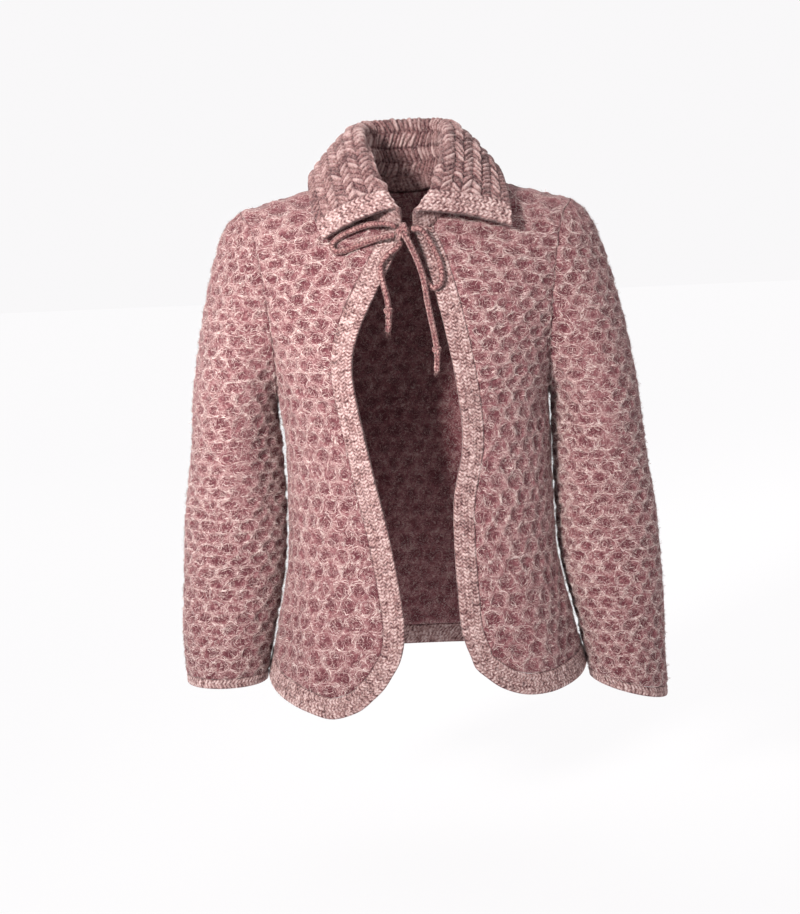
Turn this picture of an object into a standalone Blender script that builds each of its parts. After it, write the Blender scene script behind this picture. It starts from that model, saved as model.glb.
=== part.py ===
"""Open-front knitted cardigan with round lower corners, a rolled collar and a cord tie.

Metres, +Z up. The wearer faces -Y and the wearer's right is -X. The origin lies midway between the
shoulders, at the height where the shoulder seams meet the neck. The cloth has the hollow form that it
takes when it is worn: every panel is a thin wall on one shared body form, and panels meet with a
small gap at their seams.
"""
import math

import bmesh
import bpy
from mathutils import Vector

# Driving sizes of the garment
SHOULDER_HALF = 0.190       # centre to the shoulder point, where the sleeve is set in
NECK_HALF = 0.062           # centre to the neck end of the shoulder seam
UNDERARM_Z = -0.235
NECK_FRONT_LEVEL = 0.75     # height of the front neck point, as a share of the armhole's height
NECK_BACK_LEVEL = 0.885
KNIT_WALL = 0.0036          # honeycomb knit of a thick mohair yarn
BAND_WALL = 0.0040
BAND_WIDTH = 0.024
BAND_RIBS = 3
BAND_RIB_RISE = 0.0012
CUFF_WIDTH = 0.011
COLLAR_WALL = 0.0050
COLLAR_RIBS = 5
COLLAR_RIB_RISE = 0.0034
SEAM_GAP = 0.0003
CORD_DIAMETER = 0.0066
SECTION_POWER = 2.3         # roundness of the body's level sections, 2 is an ellipse
FRONT_DOME_POWER = 2.0      # how the chest leans back to the shoulder seam
BACK_DOME_POWER = 2.8
ARMHOLE_FRONT = 0.062       # how far the armhole reaches before the side seam
ARMHOLE_BACK = 0.052
ARMHOLE_STEPS = 12
NECK_ROW = 8                # the armhole step that is level with the front neck point
LOWER_ROWS = 13
FRONT_COLUMNS = 8
BACK_NECK_COLUMNS = 6
BACK_SIDE_COLUMNS = 4
CAP_RINGS = 5

# Linear colours of the knitted pieces
PANEL_COLOUR = (0.342, 0.202, 0.208)
BAND_COLOUR = (0.445, 0.300, 0.285)
COLLAR_COLOUR = (0.400, 0.250, 0.245)
CORD_COLOUR = (0.410, 0.215, 0.210)

# Level sections of the body below the underarm
BODY_SECTIONS = [
    dict(z=-0.235, half_width=0.155, front=0.118, back=0.094),
    dict(z=-0.290, half_width=0.1525, front=0.111, back=0.088),
    dict(z=-0.358, half_width=0.1525, front=0.104, back=0.088),
    dict(z=-0.430, half_width=0.1560, front=0.106, back=0.098),
    dict(z=-0.478, half_width=0.1650, front=0.113, back=0.108),
    dict(z=-0.526, half_width=0.1760, front=0.121, back=0.116),
    dict(z=-0.600, half_width=0.1940, front=0.132, back=0.126),
]

HIP_SHIFT = 0.0035          # the body hangs this far towards the wearer's left below the underarm

# The armhole's distance from the centre, by its height between underarm and shoulder point
ARMHOLE = [
    dict(level=0.00, x=0.1550),
    dict(level=0.20, x=0.1555),
    dict(level=0.45, x=0.1600),
    dict(level=0.75, x=0.1690),
    dict(level=0.92, x=0.1780),
    dict(level=1.00, x=SHOULDER_HALF),
]

# Outer edge of each front, from the neck point down, round the corner and along the hem.
# The last point lies on the side seam. A row marked corner is the middle of the round corner.
RIGHT_EDGE = [
    dict(x=0.005, z=-0.042),
    dict(x=0.012, z=-0.066),
    dict(x=0.043, z=-0.122),
    dict(x=0.062, z=-0.162),
    dict(x=0.068, z=-0.198),
    dict(x=0.064, z=-0.236),
    dict(x=0.055, z=-0.305),
    dict(x=0.040, z=-0.379),
    dict(x=0.029, z=-0.450),
    dict(x=0.025, z=-0.492),
    dict(x=0.031, z=-0.528),
    dict(x=0.051, z=-0.560, corner=True),
    dict(x=0.080, z=-0.585),
    dict(x=0.113, z=-0.595),
    dict(x=0.146, z=-0.587),
    dict(x=0.184, z=-0.556),
]
LEFT_EDGE = [
    dict(x=0.006, z=-0.042),
    dict(x=0.018, z=-0.079),
    dict(x=0.029, z=-0.118),
    dict(x=0.039, z=-0.165),
    dict(x=0.046, z=-0.205),
    dict(x=0.051, z=-0.248),
    dict(x=0.047, z=-0.298),
    dict(x=0.037, z=-0.345),
    dict(x=0.035, z=-0.395),
    dict(x=0.037, z=-0.455),
    dict(x=0.040, z=-0.500),
    dict(x=0.054, z=-0.541, corner=True),
    dict(x=0.079, z=-0.563),
    dict(x=0.110, z=-0.576),
    dict(x=0.147, z=-0.577),
    dict(x=0.184, z=-0.560),
]
BACK_HEM_DIP = 0.006        # the back hem hangs this much lower at its centre

# Sleeve sections below the underarm: inner and outer side as seen from the front, middle and half
# depth from the side, and how much lower the outer side of the section is than the inner side
RIGHT_SLEEVE = [
    dict(z=-0.275, inner=0.160, outer=0.256, y=-0.006, depth=0.050, slant=0.000),
    dict(z=-0.313, inner=0.158, outer=0.260, y=-0.005, depth=0.047, slant=0.000),
    dict(z=-0.361, inner=0.157, outer=0.267, y=-0.004, depth=0.044, slant=0.000),
    dict(z=-0.437, inner=0.163, outer=0.274, y=-0.005, depth=0.043, slant=0.000),
    dict(z=-0.514, inner=0.179, outer=0.279, y=-0.010, depth=0.045, slant=0.000),
    dict(z=-0.567, inner=0.189, outer=0.277, y=-0.014, depth=0.047, slant=0.000),
]
LEFT_SLEEVE = [
    dict(z=-0.275, inner=0.1630, outer=0.261, y=-0.006, depth=0.050, slant=0.000),
    dict(z=-0.317, inner=0.1640, outer=0.266, y=-0.005, depth=0.047, slant=0.002),
    dict(z=-0.361, inner=0.1645, outer=0.273, y=-0.004, depth=0.044, slant=0.005),
    dict(z=-0.437, inner=0.1690, outer=0.280, y=-0.005, depth=0.043, slant=0.012),
    dict(z=-0.514, inner=0.1865, outer=0.281, y=-0.010, depth=0.045, slant=0.020),
    dict(z=-0.580, inner=0.1985, outer=0.283, y=-0.014, depth=0.047, slant=0.026),
]
SLEEVE_ROWS = 11

# Soft lengthwise folds of the sleeves: turn is the place round the sleeve in degrees, from the inner
# side over the front (90) and the outer side (180) to the back (270); rise is negative in a valley
RIGHT_SLEEVE_FOLDS = [
    dict(turn=42, width=26, rise=-0.0050, top=-0.19, bottom=-0.44),
    dict(turn=96, width=30, rise=0.0035, top=-0.06, bottom=-0.50),
    dict(turn=262, width=30, rise=-0.0040, top=-0.15, bottom=-0.40),
    dict(turn=215, width=34, rise=0.0030, top=-0.20, bottom=-0.52),
]
LEFT_SLEEVE_FOLDS = [
    dict(turn=40, width=26, rise=-0.0055, top=-0.15, bottom=-0.33),
    dict(turn=88, width=30, rise=0.0035, top=-0.06, bottom=-0.42),
    dict(turn=275, width=32, rise=-0.0040, top=-0.17, bottom=-0.46),
    dict(turn=225, width=34, rise=0.0030, top=-0.10, bottom=-0.38),
]

# Collar from one front end round to the centre back, at even steps along the neckline: the top of the
# roll and the outer edge of the turned-down part
RIGHT_COLLAR = [
    dict(roll=(0.007, -0.094, -0.020), edge=(0.094, -0.086, -0.051)),
    dict(roll=(0.021, -0.080, 0.003), edge=(0.103, -0.073, -0.029)),
    dict(roll=(0.034, -0.052, 0.032), edge=(0.108, -0.045, -0.006)),
    dict(roll=(0.042, -0.016, 0.058), edge=(0.109, -0.008, 0.013)),
    dict(roll=(0.044, 0.022, 0.070), edge=(0.104, 0.036, 0.009)),
    dict(roll=(0.034, 0.050, 0.074), edge=(0.074, 0.080, -0.012)),
    dict(roll=(0.000, 0.060, 0.075), edge=(0.000, 0.100, -0.022)),
]
LEFT_COLLAR = [
    dict(roll=(0.008, -0.098, -0.023), edge=(0.116, -0.088, -0.044)),
    dict(roll=(0.026, -0.084, 0.001), edge=(0.116, -0.068, -0.018)),
    dict(roll=(0.038, -0.052, 0.028), edge=(0.113, -0.040, 0.001)),
    dict(roll=(0.044, -0.016, 0.055), edge=(0.109, -0.006, 0.014)),
    dict(roll=(0.045, 0.022, 0.069), edge=(0.104, 0.036, 0.009)),
    dict(roll=(0.034, 0.050, 0.074), edge=(0.074, 0.080, -0.012)),
    dict(roll=(0.000, 0.060, 0.075), edge=(0.000, 0.100, -0.022)),
]
COLLAR_CLEARANCE = 0.0005   # between the neckline's rims and the collar that stands on them
COLLAR_STATIONS = 14        # on each side of the centre back
COLLAR_STEPS = 20           # from the neckline over the roll to the outer edge
ROLL_RADIUS = 0.0070
FALL_BULGE = 0.003          # how far the turned-down part swells between roll and edge
COLLAR_BAND_SHARE = 0.16    # share of a collar half that its end band takes up

# Routes of the tie cords, through points chosen by hand
KNOT_CENTRE = (-0.0050, -0.0942, -0.0460)
KNOT_RADII = (0.0090, 0.0114, 0.0105)
RIGHT_LOOP = [
    (-0.0128, -0.0962, -0.0405), (-0.0180, -0.0974, -0.0370), (-0.0275, -0.0947, -0.0355),
    (-0.0430, -0.0859, -0.0368), (-0.0620, -0.0820, -0.0425), (-0.0780, -0.0830, -0.0505),
    (-0.0850, -0.0850, -0.0580), (-0.0810, -0.0880, -0.0645), (-0.0690, -0.0895, -0.0640),
    (-0.0520, -0.0895, -0.0580), (-0.0350, -0.0932, -0.0525), (-0.0225, -0.0967, -0.0500),
    (-0.0140, -0.0956, -0.0486),
]
LEFT_LOOP = [
    (-0.0003, -0.0979, -0.0546), (0.0040, -0.0997, -0.0625), (0.0085, -0.1010, -0.0730),
    (0.0128, -0.1021, -0.0860), (0.0180, -0.1062, -0.1005), (0.0260, -0.1095, -0.1085),
    (0.0345, -0.1082, -0.1030), (0.0355, -0.1038, -0.0870), (0.0295, -0.0981, -0.0680),
    (0.0205, -0.0973, -0.0505), (0.0125, -0.0977, -0.0425), (0.0040, -0.0961, -0.0437),
]
RIGHT_END = [
    (-0.0077, -0.0980, -0.0557), (-0.0125, -0.1000, -0.0628), (-0.0215, -0.1014, -0.0690),
    (-0.0295, -0.1021, -0.0775), (-0.0316, -0.1040, -0.0890), (-0.0292, -0.1053, -0.1030),
    (-0.0257, -0.1060, -0.1180), (-0.0248, -0.1065, -0.1272),
]
LEFT_END = [
    (-0.0036, -0.1061, -0.0480), (-0.0030, -0.1104, -0.0494), (0.0005, -0.1130, -0.0560),
    (0.0058, -0.1125, -0.0680), (0.0105, -0.1119, -0.0800), (0.0150, -0.1135, -0.0950),
    (0.0172, -0.1145, -0.1080), (0.0185, -0.1145, -0.1200), (0.0215, -0.1138, -0.1375),
    (0.0252, -0.1130, -0.1595), (0.0271, -0.1130, -0.1722),
]
RIGHT_TIP = [(-0.0248, -0.1065, -0.1390), (-0.0252, -0.1065, -0.1475), (-0.0264, -0.1065, -0.1565)]
LEFT_TIP = [(0.0275, -0.1130, -0.1840), (0.0272, -0.1130, -0.1925), (0.0262, -0.1130, -0.2025)]
RIGHT_END_KNOT = (-0.0248, -0.1065, -0.1331)
LEFT_END_KNOT = (0.0273, -0.1130, -0.1781)
END_KNOT_RADII = (0.0058, 0.0056, 0.0056)
CORD_SIDES_SETTING = 2

FRONT, BACK = -1, 1
RIGHT, LEFT = -1, 1


def smooth_value(rows, key, column, at):
    """Value of a table's column at a place along its key, on a smooth curve through the rows."""
    ordered = sorted(rows, key=lambda row: row[key])
    places = [row[key] for row in ordered]
    values = [row[column] for row in ordered]
    at = min(max(at, places[0]), places[-1])
    index = max(i for i in range(len(places) - 1) if places[i] <= at)
    slopes = []
    for i in range(len(places)):
        before, after = max(i - 1, 0), min(i + 1, len(places) - 1)
        slopes.append((values[after] - values[before]) / (places[after] - places[before]))
    span = places[index + 1] - places[index]
    t = (at - places[index]) / span
    rise = values[index + 1] - values[index]
    start, end = slopes[index] * span, slopes[index + 1] * span
    return (values[index] + start * t + (3 * rise - 2 * start - end) * t ** 2
            + (start + end - 2 * rise) * t ** 3)


def spline_point(points, at):
    """Point at a share of the way through a list of points, on a Catmull-Rom curve."""
    place = min(max(at, 0.0), 1.0) * (len(points) - 1)
    index = min(int(place), len(points) - 2)
    t = place - index
    b, c = Vector(points[index]), Vector(points[index + 1])
    a = Vector(points[index - 1]) if index > 0 else b * 2 - c
    d = Vector(points[index + 2]) if index + 2 < len(points) else c * 2 - b
    return 0.5 * (2 * b + (c - a) * t + (2 * a - 5 * b + 4 * c - d) * t ** 2
                  + (3 * b - 3 * c + d - a) * t ** 3)


def even_places(points, count, crowd=1.0):
    """Evenly spaced places on a line, as an index and a share; a crowd packs them at its end."""
    lengths = [0.0]
    for before, after in zip(points, points[1:]):
        lengths.append(lengths[-1] + (after - before).length)
    places, index = [], 0
    for k in range(count + 1):
        target = lengths[-1] * (1 - (1 - k / count) ** crowd)
        while index < len(points) - 2 and lengths[index + 1] < target:
            index += 1
        share = (target - lengths[index]) / max(lengths[index + 1] - lengths[index], 1e-9)
        places.append((index, min(max(share, 0.0), 1.0)))
    return places


def even_points(points, count, crowd=1.0):
    """Evenly spaced points on a line with straight sides."""
    return [points[i].lerp(points[i + 1], share) for i, share in even_places(points, count, crowd)]


def even_curve(points, count, crowd=1.0):
    """Evenly spaced points on the smooth curve through a few points."""
    return even_points([spline_point(points, i / 400) for i in range(401)], count, crowd)


def unit_section(angle):
    """Point of the rounded unit section at an angle from the centre front (or centre back)."""
    radius = (abs(math.cos(angle)) ** SECTION_POWER + abs(math.sin(angle)) ** SECTION_POWER)
    radius **= -1 / SECTION_POWER
    return radius * math.sin(angle), radius * math.cos(angle)


def section_angle(share):
    """Angle at which the rounded section has this share of its half width."""
    share = min(max(share, 0.0), 1.0)
    return math.atan2(share, (1 - share ** SECTION_POWER) ** (1 / SECTION_POWER))


def shoulder_z(x):
    """Height of the shoulder line, which falls from the neck to the shoulder point."""
    return 0.031 - 0.275 * math.sqrt(x * x + 0.03 ** 2)


ARM_HEIGHT = shoulder_z(SHOULDER_HALF) - UNDERARM_Z


def armhole_level(step):
    """Height of one armhole step, from 0 at the underarm to 1 at the shoulder point."""
    return (1 - math.cos(math.pi * step / ARMHOLE_STEPS)) / 2


def dome(level, facing):
    """Depth left at a level of the chest or the upper back, as a share of its full depth."""
    power = FRONT_DOME_POWER if facing == FRONT else BACK_DOME_POWER
    return max(1 - level ** power, 0.0) ** (1 / power)


def body_size(v, facing):
    """Half width and depth of the body form at a height v from the underarm."""
    column = "front" if facing == FRONT else "back"
    if v <= 0:
        z = UNDERARM_Z + v
        return smooth_value(BODY_SECTIONS, "z", "half_width", z), \
            smooth_value(BODY_SECTIONS, "z", column, z)
    level = min(v / ARM_HEIGHT, 1.0)
    full_depth = smooth_value(BODY_SECTIONS, "z", column, UNDERARM_Z)
    reach = ARMHOLE_FRONT if facing == FRONT else ARMHOLE_BACK
    swing = math.sqrt(max(1 - (2 * level - 1) ** 2, 0.0))
    remaining = dome(level, facing)
    if level > 0.985:
        swing = math.sqrt(1 - (2 * 0.985 - 1) ** 2)
        remaining = dome(0.985, facing)
    share = min(reach * swing / (full_depth * remaining), 0.93)
    across = (1 - share ** SECTION_POWER) ** (1 / SECTION_POWER)
    half_width = smooth_value(ARMHOLE, "level", "x", level) / across
    return half_width, full_depth * dome(level, facing)


def body_point(angle, v, facing):
    """Point of the body form: angle from the centre front or back, v the height from the underarm."""
    half_width, depth = body_size(v, facing)
    across, along = unit_section(angle)
    x = half_width * across
    if v <= 0:
        z = UNDERARM_Z + v
    else:
        z = UNDERARM_Z + (shoulder_z(x) - UNDERARM_Z) * min(v / ARM_HEIGHT, 1.0)
    return Vector((x, facing * depth * along, z))


def hip_shift(point):
    """Sideways shift of the body below the underarm, which grows over the first stretch."""
    share = min(max((UNDERARM_Z - point.z) / 0.06, 0.0), 1.0)
    return Vector((HIP_SHIFT * share * share * (3 - 2 * share), 0, 0))


def body_normal(angle, v, facing):
    """Outward direction of the body form, level with the top of the shoulder at its seam."""
    step = 0.0008
    v = min(v, ARM_HEIGHT * 0.9995)
    along = body_point(angle + 0.004, v, facing) - body_point(angle - 0.004, v, facing)
    low, high = max(v - step, -0.36), min(v + step, ARM_HEIGHT * 0.9999)
    up = body_point(angle, high, facing) - body_point(angle, low, facing)
    normal = along.cross(up).normalized()
    return normal if facing == FRONT else -normal


def edge_place(x, z):
    """Angle and height on the front body form of a point known by its x and z."""
    v = z - UNDERARM_Z
    if v > 0:
        v = ARM_HEIGHT * v / (shoulder_z(x) - UNDERARM_Z)
    half_width, _ = body_size(v, FRONT)
    return Vector((section_angle(x / half_width), v, 0))


def moved_place(place, before, after, distance, facing):
    """Place reached from one point of a line on the body form by going square to it."""
    step = 0.0006
    here = body_point(place.x, place.y, facing)
    by_angle = (body_point(place.x + step, place.y, facing) - here) / step
    by_height = (body_point(place.x, place.y + step, facing) - here) / step
    tangent = body_point(after.x, after.y, facing) - body_point(before.x, before.y, facing)
    normal = by_angle.cross(by_height).normalized()
    aside = normal.cross(tangent).normalized() * distance
    aa, ah, hh = by_angle.dot(by_angle), by_angle.dot(by_height), by_height.dot(by_height)
    ra, rh = aside.dot(by_angle), aside.dot(by_height)
    determinant = aa * hh - ah * ah
    return place + Vector(((ra * hh - rh * ah) / determinant, (rh * aa - ra * ah) / determinant, 0))


def material(name, colour, roughness):
    """Knitted wool of one colour."""
    knit = bpy.data.materials.new(name)
    knit.use_nodes = True
    shader = knit.node_tree.nodes["Principled BSDF"]
    shader.inputs["Base Color"].default_value = (*colour, 1)
    shader.inputs["Roughness"].default_value = roughness
    shader.inputs["Metallic"].default_value = 0.0
    return knit


def cloth_wall(name, middle, normals, wall, raised=None, ring=False, knit=None, mirror=False,
               body=False):
    """Closed wall on a grid of points: plain on the inside, with raised rows on the outside."""
    rows, columns = len(middle), len(middle[0])
    mesh = bmesh.new()
    sides = []
    for direction in (1, -1):
        grid = []
        for r in range(rows):
            line = []
            for c in range(columns):
                lift = direction * wall / 2
                if direction == 1 and raised:
                    lift += raised(r, c)
                point = middle[r][c] + normals[r][c] * lift
                if mirror:
                    point = Vector((-point.x, point.y, point.z))
                if body:
                    point = point + hip_shift(middle[r][c])
                line.append(mesh.verts.new(point))
            grid.append(line)
        sides.append(grid)
    outer, inner = sides
    last = columns if ring else columns - 1
    for r in range(rows - 1):
        for c in range(last):
            d = (c + 1) % columns
            mesh.faces.new((outer[r][c], outer[r][d], outer[r + 1][d], outer[r + 1][c]))
            mesh.faces.new((inner[r][c], inner[r + 1][c], inner[r + 1][d], inner[r][d]))
    rims = []
    for r in (0, rows - 1):
        for c in range(last):
            d = (c + 1) % columns
            rims.append(mesh.faces.new((outer[r][c], inner[r][c], inner[r][d], outer[r][d])))
    if not ring:
        for c in (0, columns - 1):
            for r in range(rows - 1):
                corners = (outer[r][c], inner[r][c], inner[r + 1][c], outer[r + 1][c])
                rims.append(mesh.faces.new(corners))
    bmesh.ops.triangulate(mesh, faces=rims, quad_method="SHORT_EDGE")
    bmesh.ops.recalc_face_normals(mesh, faces=mesh.faces)
    if mesh.calc_volume(signed=True) < 0:
        bmesh.ops.reverse_faces(mesh, faces=mesh.faces)
    data = bpy.data.meshes.new(name)
    mesh.to_mesh(data)
    mesh.free()
    data.shade_smooth()
    data.set_sharp_from_angle(angle=math.radians(50))
    return add_object(name, data, knit)


def add_object(name, data, knit):
    """Object of one piece, in the cardigan's collection."""
    piece = bpy.data.objects.new(name, data)
    if knit:
        data.materials.append(knit)
    garment.objects.link(piece)
    return piece


def front_lines(edge):
    """Edge line and band seam of one front, as places on the body form, and the corner's station."""
    corner = next(i for i, row in enumerate(edge) if row.get("corner"))
    places = [edge_place(row["x"], row["z"]) for row in edge]
    places[-1].x = math.pi / 2 - SEAM_GAP / 2 / 0.18
    scale = Vector((0.13, 1, 0))
    flat = [Vector((p.x * scale.x, p.y * scale.y, 0)) for p in places]
    start = NECK_FRONT_LEVEL * ARM_HEIGHT
    fine = [spline_point(flat[:corner + 1], i / 600) for i in range(601)]
    upper = []
    for step in range(NECK_ROW, 0, -1):
        height = armhole_level(step) * ARM_HEIGHT
        upper.append(min(fine, key=lambda p: abs(p.y - height)) if step < NECK_ROW else fine[0])
    upper[0].y = start
    below = [p for p in fine if p.y <= 0.0]
    down = even_curve(thinned(below), LOWER_ROWS, crowd=1.25)
    across = even_curve(list(reversed(flat[corner:])), FRONT_COLUMNS, crowd=1.25)
    line = upper + down + list(reversed(across))[1:]
    line = [Vector((p.x / scale.x, p.y / scale.y, 0)) for p in line]
    seam = []
    for i, place in enumerate(line):
        before, after = line[max(i - 1, 0)], line[min(i + 1, len(line) - 1)]
        seam.append(moved_place(place, before, after, BAND_WIDTH, FRONT))
    seam[0].y = start
    seam[-1].x = line[-1].x
    return line, seam, len(upper) + LOWER_ROWS


def thinned(points):
    """Every twentieth point of a fine line, with its last point."""
    return points[:-1:20] + [points[-1]]


def build_front(side, label, edge):
    """One front panel and the band that follows its edge; returns its armhole and its neckline."""
    line, seam, corner = front_lines(edge)
    upper_count = NECK_ROW
    gap = SEAM_GAP
    inner = []
    for i, place in enumerate(seam):
        before, after = seam[max(i - 1, 0)], seam[min(i + 1, len(seam) - 1)]
        inner.append(moved_place(place, before, after, gap, FRONT))
    inner[-1].x = seam[-1].x
    rows = []
    hem = inner[corner:]
    for j in range(LOWER_ROWS + 1):
        left = inner[corner - j]
        share = 1 - j / LOWER_ROWS
        right_v = hem[-1].y * share
        row = []
        for c in range(FRONT_COLUMNS + 1):
            u = c / FRONT_COLUMNS
            straight_v = inner[corner].y + (hem[-1].y - inner[corner].y) * u
            straight_a = inner[corner].x + (hem[-1].x - inner[corner].x) * u
            angle = left.x + (hem[-1].x - left.x) * u + (hem[c].x - straight_a) * share ** 2
            v = left.y + (right_v - left.y) * u + (hem[c].y - straight_v) * share ** 2
            row.append(Vector((angle, v, 0)))
        rows.append(row)
    for step in range(1, ARMHOLE_STEPS + 1):
        level = armhole_level(step)
        v = level * ARM_HEIGHT
        half_width, _ = body_size(v, FRONT)
        end = section_angle(smooth_value(ARMHOLE, "level", "x", level) / half_width)
        if step < NECK_ROW:
            start = inner[upper_count - step]
            start_angle, start_v = start.x, start.y
        else:
            start_angle, start_v = section_angle(neck_x(level, inner[0]) / half_width), v
        row = []
        for c in range(FRONT_COLUMNS + 1):
            u = c / FRONT_COLUMNS
            row.append(Vector((start_angle + (end - start_angle) * u, start_v + (v - start_v) * u, 0)))
        rows.append(row)
    middle = [[body_point(p.x, p.y, FRONT) for p in row] for row in rows]
    normals = [[body_normal(p.x, p.y, FRONT) for p in row] for row in rows]
    for point in middle[-1]:
        point.y -= SEAM_GAP / 2
    for normal in normals[-1]:
        normal.y = 0
        normal.normalize()
    armhole = [row[-1] for row in middle[LOWER_ROWS:]]
    armhole_normals = mitre_armhole(armhole, [row[-1] for row in normals[LOWER_ROWS:]], FRONT)
    for row, normal in zip(normals[LOWER_ROWS:], armhole_normals):
        row[-1] = normal
    mirror = side == RIGHT
    knit = material(label + " honeycomb knit", PANEL_COLOUR, 0.95)
    cloth_wall(label + "_front", middle, normals, KNIT_WALL, knit=knit, mirror=mirror, body=True)
    build_band(label + "_front_band", line, seam, mirror)
    neck_middle = [body_point(p.x, p.y, FRONT) for p in (line[0], line[0].lerp(seam[0], 0.5))]
    neck_middle += [row[0] for row in middle[LOWER_ROWS + NECK_ROW:]]
    neck_normals = [body_normal(line[0].x, line[0].y, FRONT)] * 2
    neck_normals += [row[0] for row in normals[LOWER_ROWS + NECK_ROW:]]
    return armhole, armhole_normals, neck_middle, neck_normals


def neck_x(level, neck_point):
    """Distance of the front neckline from the centre, from the neck point out to the shoulder."""
    half_width, _ = body_size(NECK_FRONT_LEVEL * ARM_HEIGHT, FRONT)
    start = half_width * unit_section(neck_point.x)[0]
    share = (level - NECK_FRONT_LEVEL) / (1 - NECK_FRONT_LEVEL)
    return start + (NECK_HALF - start) * math.sin(share * math.pi / 2) ** 0.9 if share > 0 else start


def band_rise(share):
    """Height of the band's lengthwise ribs across its width."""
    return BAND_RIB_RISE * abs(math.sin(math.pi * BAND_RIBS * share))


def build_band(name, line, seam, mirror, facing=FRONT):
    """Ribbed band between an edge line and the seam that joins it to a panel."""
    steps = BAND_RIBS * 2
    middle, normals = [], []
    for outer, inner in zip(line, seam):
        row, row_normals = [], []
        for c in range(steps + 1):
            place = outer.lerp(inner, c / steps)
            row.append(body_point(place.x, place.y, facing))
            row_normals.append(body_normal(place.x, place.y, facing))
        middle.append(row)
        normals.append(row_normals)
    knit = material(name + " ribbed knit", BAND_COLOUR, 0.9)
    cloth_wall(name, middle, normals, BAND_WALL, raised=lambda r, c: band_rise(c / steps),
               knit=knit, mirror=mirror, body=True)


def build_back(side_hem_v):
    """Back panel, and the band along its hem; returns its left armhole and half its neckline."""
    neck_width, _ = body_size(ARM_HEIGHT, BACK)
    neck_share = section_angle(NECK_HALF / neck_width)
    shoulder_share = section_angle(SHOULDER_HALF / neck_width)
    half = [neck_share / shoulder_share * c / (BACK_NECK_COLUMNS // 2)
            for c in range(BACK_NECK_COLUMNS // 2 + 1)]
    start = half[-1]
    half += [start + (1 - start) * c / BACK_SIDE_COLUMNS for c in range(1, BACK_SIDE_COLUMNS + 1)]
    columns = [-u for u in reversed(half[1:])] + half
    edge_angle = math.pi / 2 - SEAM_GAP / 2 / 0.18

    def hem_v(u):
        return side_hem_v - BACK_HEM_DIP * math.cos(u * math.pi / 2)

    hem_line = [Vector((u * edge_angle, hem_v(u), 0)) for u in columns]
    hem_seam = [Vector((p.x, p.y + BAND_WIDTH, 0)) for p in hem_line]
    rows = []
    for j in range(LOWER_ROWS + 1):
        share = 1 - j / LOWER_ROWS
        rows.append([Vector((p.x, (p.y + SEAM_GAP) * share, 0)) for p in hem_seam])
    for step in range(1, ARMHOLE_STEPS + 1):
        level = armhole_level(step)
        half_width, _ = body_size(level * ARM_HEIGHT, BACK)
        end = section_angle(smooth_value(ARMHOLE, "level", "x", level) / half_width)
        row = []
        for u in columns:
            dip = 1 - (1 - NECK_BACK_LEVEL) * max(1 - (abs(u) / start) ** 2.4, 0.0)
            row.append(Vector((u * end, level * dip * ARM_HEIGHT, 0)))
        rows.append(row)
    middle = [[body_point(p.x, p.y, BACK) for p in row] for row in rows]
    normals = [[body_normal(p.x, p.y, BACK) for p in row] for row in rows]
    for point in middle[-1]:
        point.y += SEAM_GAP / 2
    for u, normal in zip(columns, normals[-1]):
        if abs(u) >= start:
            normal.y = 0
            normal.normalize()
    armhole = [row[-1] for row in middle[LOWER_ROWS:]]
    armhole_normals = mitre_armhole(armhole, [row[-1] for row in normals[LOWER_ROWS:]], BACK)
    for row, normal in zip(normals[LOWER_ROWS:], armhole_normals):
        row[-1] = normal
        row[0] = mirrored(normal, RIGHT)
    cloth_wall("back", middle, normals, KNIT_WALL, body=True,
               knit=material("back honeycomb knit", PANEL_COLOUR, 0.95))
    build_band("back_hem_band", hem_line, hem_seam, False, BACK)
    centre = len(columns) // 2
    neck = slice(centre, centre + BACK_NECK_COLUMNS // 2)
    return armhole, armhole_normals, middle[-1][neck][::-1], normals[-1][neck][::-1]


def leave_direction(point):
    """Direction in which the sleeve leaves the armhole: outward below, over the shoulder above."""
    height = min(max((point.z - UNDERARM_Z) / ARM_HEIGHT, 0.0), 1.0)
    return Vector((1, 0, -0.15 - 0.45 * math.sin(math.pi * height) - 0.10 * height)).normalized()


def mitre_armhole(points, normals, facing):
    """Turn the wall's rim at the armhole so that panel and sleeve meet on a mitre."""
    last = len(points) - 1
    for k, (point, normal) in enumerate(zip(points, normals)):
        if k in (0, last):
            tangent = Vector((0, facing, 0)) if k == 0 else Vector((0, -facing, 0))
        else:
            tangent = points[k + 1] - points[k - 1]
        sleeve_normal = leave_direction(point).cross(tangent).normalized()
        if facing == BACK:
            sleeve_normal.negate()
        together = normal + sleeve_normal
        normals[k] = together / (1 + normal.dot(sleeve_normal))
    return normals


def fold_rise(folds, turn, z):
    """Height of the sleeve's soft folds at a place round and along it."""
    total = 0.0
    for fold in folds:
        middle_z = (fold["top"] + fold["bottom"]) / 2
        half_length = (fold["top"] - fold["bottom"]) / 2
        along = (z - middle_z) / half_length
        if abs(along) < 1:
            around = (math.degrees(turn) - fold["turn"]) / fold["width"]
            total += fold["rise"] * math.exp(-around ** 2) * math.cos(along * math.pi / 2) ** 2
    return total


def sleeve_ring(table, folds, z):
    """One section of the sleeve below the underarm, from its inner side over the front."""
    inner = smooth_value(table, "z", "inner", z)
    outer = smooth_value(table, "z", "outer", z)
    depth = smooth_value(table, "z", "depth", z)
    y = smooth_value(table, "z", "y", z)
    slant = smooth_value(table, "z", "slant", z)
    points = []
    for i in range(2 * ARMHOLE_STEPS):
        turn = math.pi * i / ARMHOLE_STEPS
        radial = 1 + fold_rise(folds, turn, z) / depth
        across, ahead = math.cos(turn) * radial, math.sin(turn) * radial
        x = (inner + outer) / 2 - (outer - inner) / 2 * across
        points.append(Vector((x, y - depth * ahead, z - slant * (1 - across) / 2)))
    return points


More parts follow.
